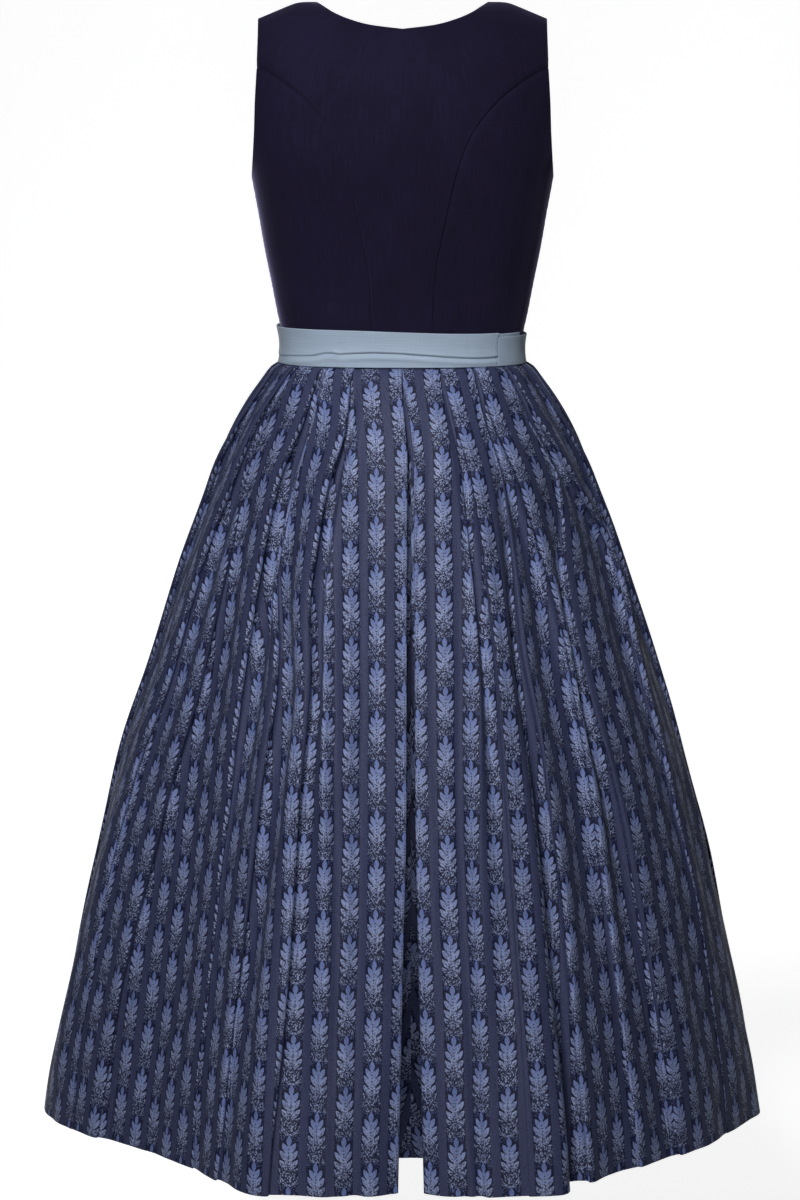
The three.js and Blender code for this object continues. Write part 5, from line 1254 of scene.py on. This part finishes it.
# Knot: a wrapped, creased roll of cloth.
th, la = np.linspace(0, TAU, 61)[:-1], np.linspace(-math.pi / 2, math.pi / 2, 41)
TH, LA = np.meshgrid(th, la)
cx, cz, cy = np.cos(LA) * np.cos(TH), np.sin(LA), np.cos(LA) * np.sin(TH)
crease = 1 - 0.10 * np.exp(-((np.sin(TH * 1.0 + 0.6) - 0.35) / 0.12) ** 2) - 0.06 * np.sin(TH * 5 + 2.2 * cz) * np.cos(LA) - 0.03 * np.sin(TH * 11 + 1.3)
K = (knot_c + (pows(cx, 0.66) * KNOT_HALF * crease)[..., None] * bow_u + (pows(cy, 0.66) * (KNOT_D / 2) * crease)[..., None] * bow_n)
K[..., 2] += pows(cz, 0.62) * 16.8
R, C = TH.shape
verts = K.reshape(-1, 3) * 0.001
faces = [(r * C + c, r * C + (c + 1) % C, (r + 1) * C + (c + 1) % C, (r + 1) * C + c) for r in range(R - 1) for c in range(C)]
me = bpy.data.meshes.new("bow_knot_cloth")
me.from_pydata(verts.tolist(), [], faces)
me.polygons.foreach_set("use_smooth", np.ones(len(faces), bool))
uvl = me.uv_layers.new(name="cloth")
uvs = np.array([[(vi % C) / C * 75.0 if not (vi % C == 0 and (f[1] % C == 0 or f[2] % C == 0)) else 75.0, vi // C * 1.1] for f in faces for vi in f], np.float32)
uvl.data.foreach_set("uv", uvs.ravel())
me.materials.append(apron_out)
knot = bpy.data.objects.new("bow_knot_cloth", me)
bpy.context.scene.collection.objects.link(knot)
bpy.context.view_layer.objects.active = knot
import bmesh
bm = bmesh.new()
bm.from_mesh(me)
bmesh.ops.remove_doubles(bm, verts=bm.verts, dist=1e-6)
bmesh.ops.recalc_face_normals(bm, faces=bm.faces)
bm.to_mesh(me)
bm.free()
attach(knot, "root")
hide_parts("bow_knot")


def add_loop(name, dirn):
    LEN, WIDE = 60, 19
    t = steps(72, 0.006)
    v = steps(16, 0.03)
    a = (TAU * (0.035 + 0.93 * t) - math.pi)[None, :] + 0 * v[:, None]
    v2 = v[:, None] + 0 * a
    x = LEN * 0.5 * (1 + np.cos(a)) + 1.2
    fat = WIDE * 0.5 * np.sin(a) * (0.42 + 0.58 * (x / LEN))
    y = KNOT_D / 2 + 4.5 + fat - (x / LEN) * 1.5
    widen = 11.5 + 5.5 * np.sin(math.pi * np.clip(x / LEN, 0, 1) * 0.62)
    zz = -333 - 0.6 * (x / LEN) + widen * (1 - 2 * v2)
    back = np.where(dirn > 0, -0.0009, -0.0001) * x * x
    P = bow_at + (dirn * (KNOT_HALF + x))[..., None] * bow_u + (LAYER_2 + APRON_T + 1.2 + y - 2.5 + back)[..., None] * bow_n
    P[..., 2] = zz
    tan = np.gradient(P, axis=1)
    N = np.stack([tan[..., 1], -tan[..., 0], 0 * x], -1)
    N /= np.linalg.norm(N, axis=-1, keepdims=True)
    g = np.exp(-x / 20) * (1.0 * np.sin(v2 * TAU * 2.5 + 0.6 + dirn) + 0.5 * np.sin(v2 * TAU * 5 + dirn)) + 0.5 * np.sin(x / 11 + v2 * 5 + dirn) * smooth(x / 30)
    P = P + N * (g * smooth(v2 / 0.05) * smooth((1 - v2) / 0.05))[..., None]
    ob = shell(name, P, N, APRON_T * 0.4, -APRON_T * 0.4, [apron_out, apron_in])
    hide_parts(name)
    declare(ob, P)


add_loop("bow_loop_L", 1)
add_loop("bow_loop_R", -1)


def add_tail(name, x0, drift, z_end, seed):
    zs = np.concatenate([np.linspace(-352.4, z_end + 1.5, 60), [z_end]])
    c = steps(18, 0.03)
    t = ((-352 - zs) / 200)[:, None]
    Z = zs[:, None] + 0 * c[None, :]
    x = x0 + drift * t + (c[None, :] * 2 - 1) * 17 * (0.62 + 0.38 * np.clip(t * 3, 0, 1))
    off = curve(-AP[:, 0], AP[:, 2], -zs)[:, None] + curve(-AP[:, 0], AP[:, 3], -zs)[:, None] + APRON_T + 2.8
    off = off + 1.2 * np.sin(c[None, :] * 3.2 + t * 5) + np.exp(-t * 6) * 0.7 * np.sin(c[None, :] * TAU * 2.5 + seed) + 0.5 * np.sin(t * 9 + c[None, :] * 4 + seed)
    lo, hi = 0.5 + 0 * x, 1 + 0 * x
    for _ in range(30):
        m = (lo + hi) / 2
        right = ring_point(1, m, Z)[0] > x
        lo, hi = np.where(right, m, lo), np.where(right, hi, m)
    qx, qy, nx, ny = ring_point(1, (lo + hi) / 2, Z)
    P = np.stack([qx + nx * off, qy + ny * off, Z], -1)
    N = grid_normals(P, np.stack([0 * x, -1 + 0 * x, 0 * x], -1))
    dv = np.linalg.norm(np.diff(P, axis=0), axis=2)
    V = np.concatenate([np.cumsum(dv[::-1], 0)[::-1], np.zeros((1, P.shape[1]))], 0)
    U = c[None, :] * 34 + 0 * V
    ob = shell(name, P, N, APRON_T * 0.8, 0.0, [apron_out, apron_in], np.stack([V[:, :-1], V[:, 1:]], -1), U)
    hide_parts(name)
    declare(ob, P)


add_tail("bow_end_L", BOW_X + 21, 26, -560, 0.4)
add_tail("bow_end_R", BOW_X - 15, -10, -500, 2.0)


# Stitches of the tie's joint: short raised threads in one upright row.
def add_stitches(name, rows, nodes_mat):
    """rows: lists of (point, outward, along) in mm; each stitch is a small rounded bar."""
    verts, faces = [], []
    for p, n, a in rows:
        n, a = np.array(n, float), np.array(a, float)
        a /= np.linalg.norm(a)
        b = np.cross(n, a)
        base = len(verts)
        prof = [(-0.9, 0.10), (-0.6, 0.24), (0.0, 0.30), (0.6, 0.24), (0.9, 0.10)]
        for q, r in prof:
            for k in range(6):
                w = TAU * k / 6
                verts.append(np.array(p) + a * q + (b * math.cos(w) + n * math.sin(w)) * r + n * (0.10 - 0.12 * (q / 0.9) ** 2))
        for i in range(len(prof) - 1):
            for k in range(6):
                k2 = (k + 1) % 6
                faces.append((base + i * 6 + k, base + i * 6 + k2, base + (i + 1) * 6 + k2, base + (i + 1) * 6 + k))
        faces.append(tuple(base + k for k in range(5, -1, -1)))
        faces.append(tuple(base + (len(prof) - 1) * 6 + k for k in range(6)))
    me = bpy.data.meshes.new(name)
    me.from_pydata((np.array(verts) * 0.001).tolist(), [], faces)
    me.polygons.foreach_set("use_smooth", np.ones(len(faces), bool))
    me.materials.append(nodes_mat)
    ob = bpy.data.objects.new(name, me)
    bpy.context.scene.collection.objects.link(ob)
    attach(ob, "root")
    return ob


marks = []
R, C = P_over.shape[:2]
along_u = arc_u(P_over)
for off_mm in (1.6,):
    for k in range(13):
        v = 0.06 + 0.88 * k / 12
        r = int(round(v * (R - 1)))
        c = int(np.searchsorted(along_u[r], off_mm))
        marks.append((P_over[r, c] + N_over[r, c] * (APRON_T * 0.9), N_over[r, c], (0, 0, 1)))
add_stitches("tie_joint_stitches", marks, thread)

# ---------- stage, lights and camera ----------
def stage_material():
    g = Mat("stage_paper")
    tc = g.node("ShaderNodeTexCoord")
    n = g.noise(tc.outputs["Object"], 1.3, 2.0, 0.5)
    base = g.mix(n, (0.60, 0.605, 0.615, 1), (0.63, 0.63, 0.635, 1))
    m = g.finish(base, 0.9, 0.0, 0.5, (1, 1, 1, 1), 0.1)
    g.bsdf.inputs["Emission Color"].default_value = (1, 1, 1, 1)
    # The paper behind the dress glows softly; the rest of it stays a quiet pale grey.
    at = g.node("ShaderNodeSeparateXYZ", {0: tc.outputs["Object"]}).outputs
    glow = g.m("MULTIPLY", g.range(g.m("ABSOLUTE", at[0]), 0.85, 1.5, 1.0, 0.0, "SMOOTHSTEP"), g.range(at[1], -0.60, -0.45, 1.0, 0.0, "SMOOTHSTEP"))
    glow = g.m("MULTIPLY", glow, g.range(at[2], 0.9, 1.7, 1.0, 0.0, "SMOOTHSTEP"))
    g.put(g.bsdf.inputs["Emission Strength"], g.m("MULTIPLY", glow, 0.80))
    return m


FLOOR_Z = -1.40
prof = [(7.0, FLOOR_Z), (-1.4, FLOOR_Z)]
for i in range(1, 17):
    a = math.pi / 2 * i / 16
    prof.append((-1.4 - 1.6 * math.sin(a), FLOOR_Z + 1.6 * (1 - math.cos(a))))
prof.append((-3.0, 4.5))
verts = [(x, y, z) for y, z in prof for x in (-7.0, 7.0)]
faces = [(2 * i, 2 * i + 1, 2 * i + 3, 2 * i + 2) for i in range(len(prof) - 1)]
me = bpy.data.meshes.new("stage")
me.from_pydata(verts, [], faces)
me.polygons.foreach_set("use_smooth", np.ones(len(faces), bool))
me.materials.append(stage_material())
stage = bpy.data.objects.new("stage", me)
bpy.context.scene.collection.objects.link(stage)

world = bpy.data.worlds.new("studio")
bpy.context.scene.world = world
world.use_nodes = True
world.node_tree.nodes["Background"].inputs[0].default_value = (0.97, 0.98, 1.0, 1)
world.node_tree.nodes["Background"].inputs[1].default_value = 0.04


def area(name, at, target, size, energy, colour=(1, 1, 1), spread=180):
    d = bpy.data.lights.new(name, "AREA")
    d.shape = "RECTANGLE"
    d.size, d.size_y = size
    d.energy = energy
    d.color = colour
    d.spread = math.radians(spread)
    o = bpy.data.objects.new(name, d)
    o.location = at
    o.rotation_euler = (Vector(target) - Vector(at)).to_track_quat("-Z", "Y").to_euler()
    bpy.context.scene.collection.objects.link(o)
    return o


area("key", (0.65, 2.5, 1.85), (0, 0, -0.5), (0.4, 0.4), 12.6, spread=70)
area("fill", (0.1, 4.2, -0.3), (0, 0, -0.8), (0.6, 0.8), 2.3, spread=45)

cam_data = bpy.data.cameras.new("camera")
cam_data.lens = 135
cam_data.sensor_width = 36
cam_data.sensor_height = 36
cam_data.sensor_fit = "VERTICAL"
cam = bpy.data.objects.new("camera", cam_data)
cam.location = (0.0025, 4.460, 0.007)
cam.rotation_euler = (Vector((0.0025, 0, -0.591)) - Vector(cam.location)).to_track_quat("-Z", "Y").to_euler()
bpy.context.scene.collection.objects.link(cam)
bpy.context.scene.camera = cam
bpy.context.scene.view_settings.view_transform = "Standard"

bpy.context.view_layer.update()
for k, v in SIZES.items():
    print("SHEET", k, v)
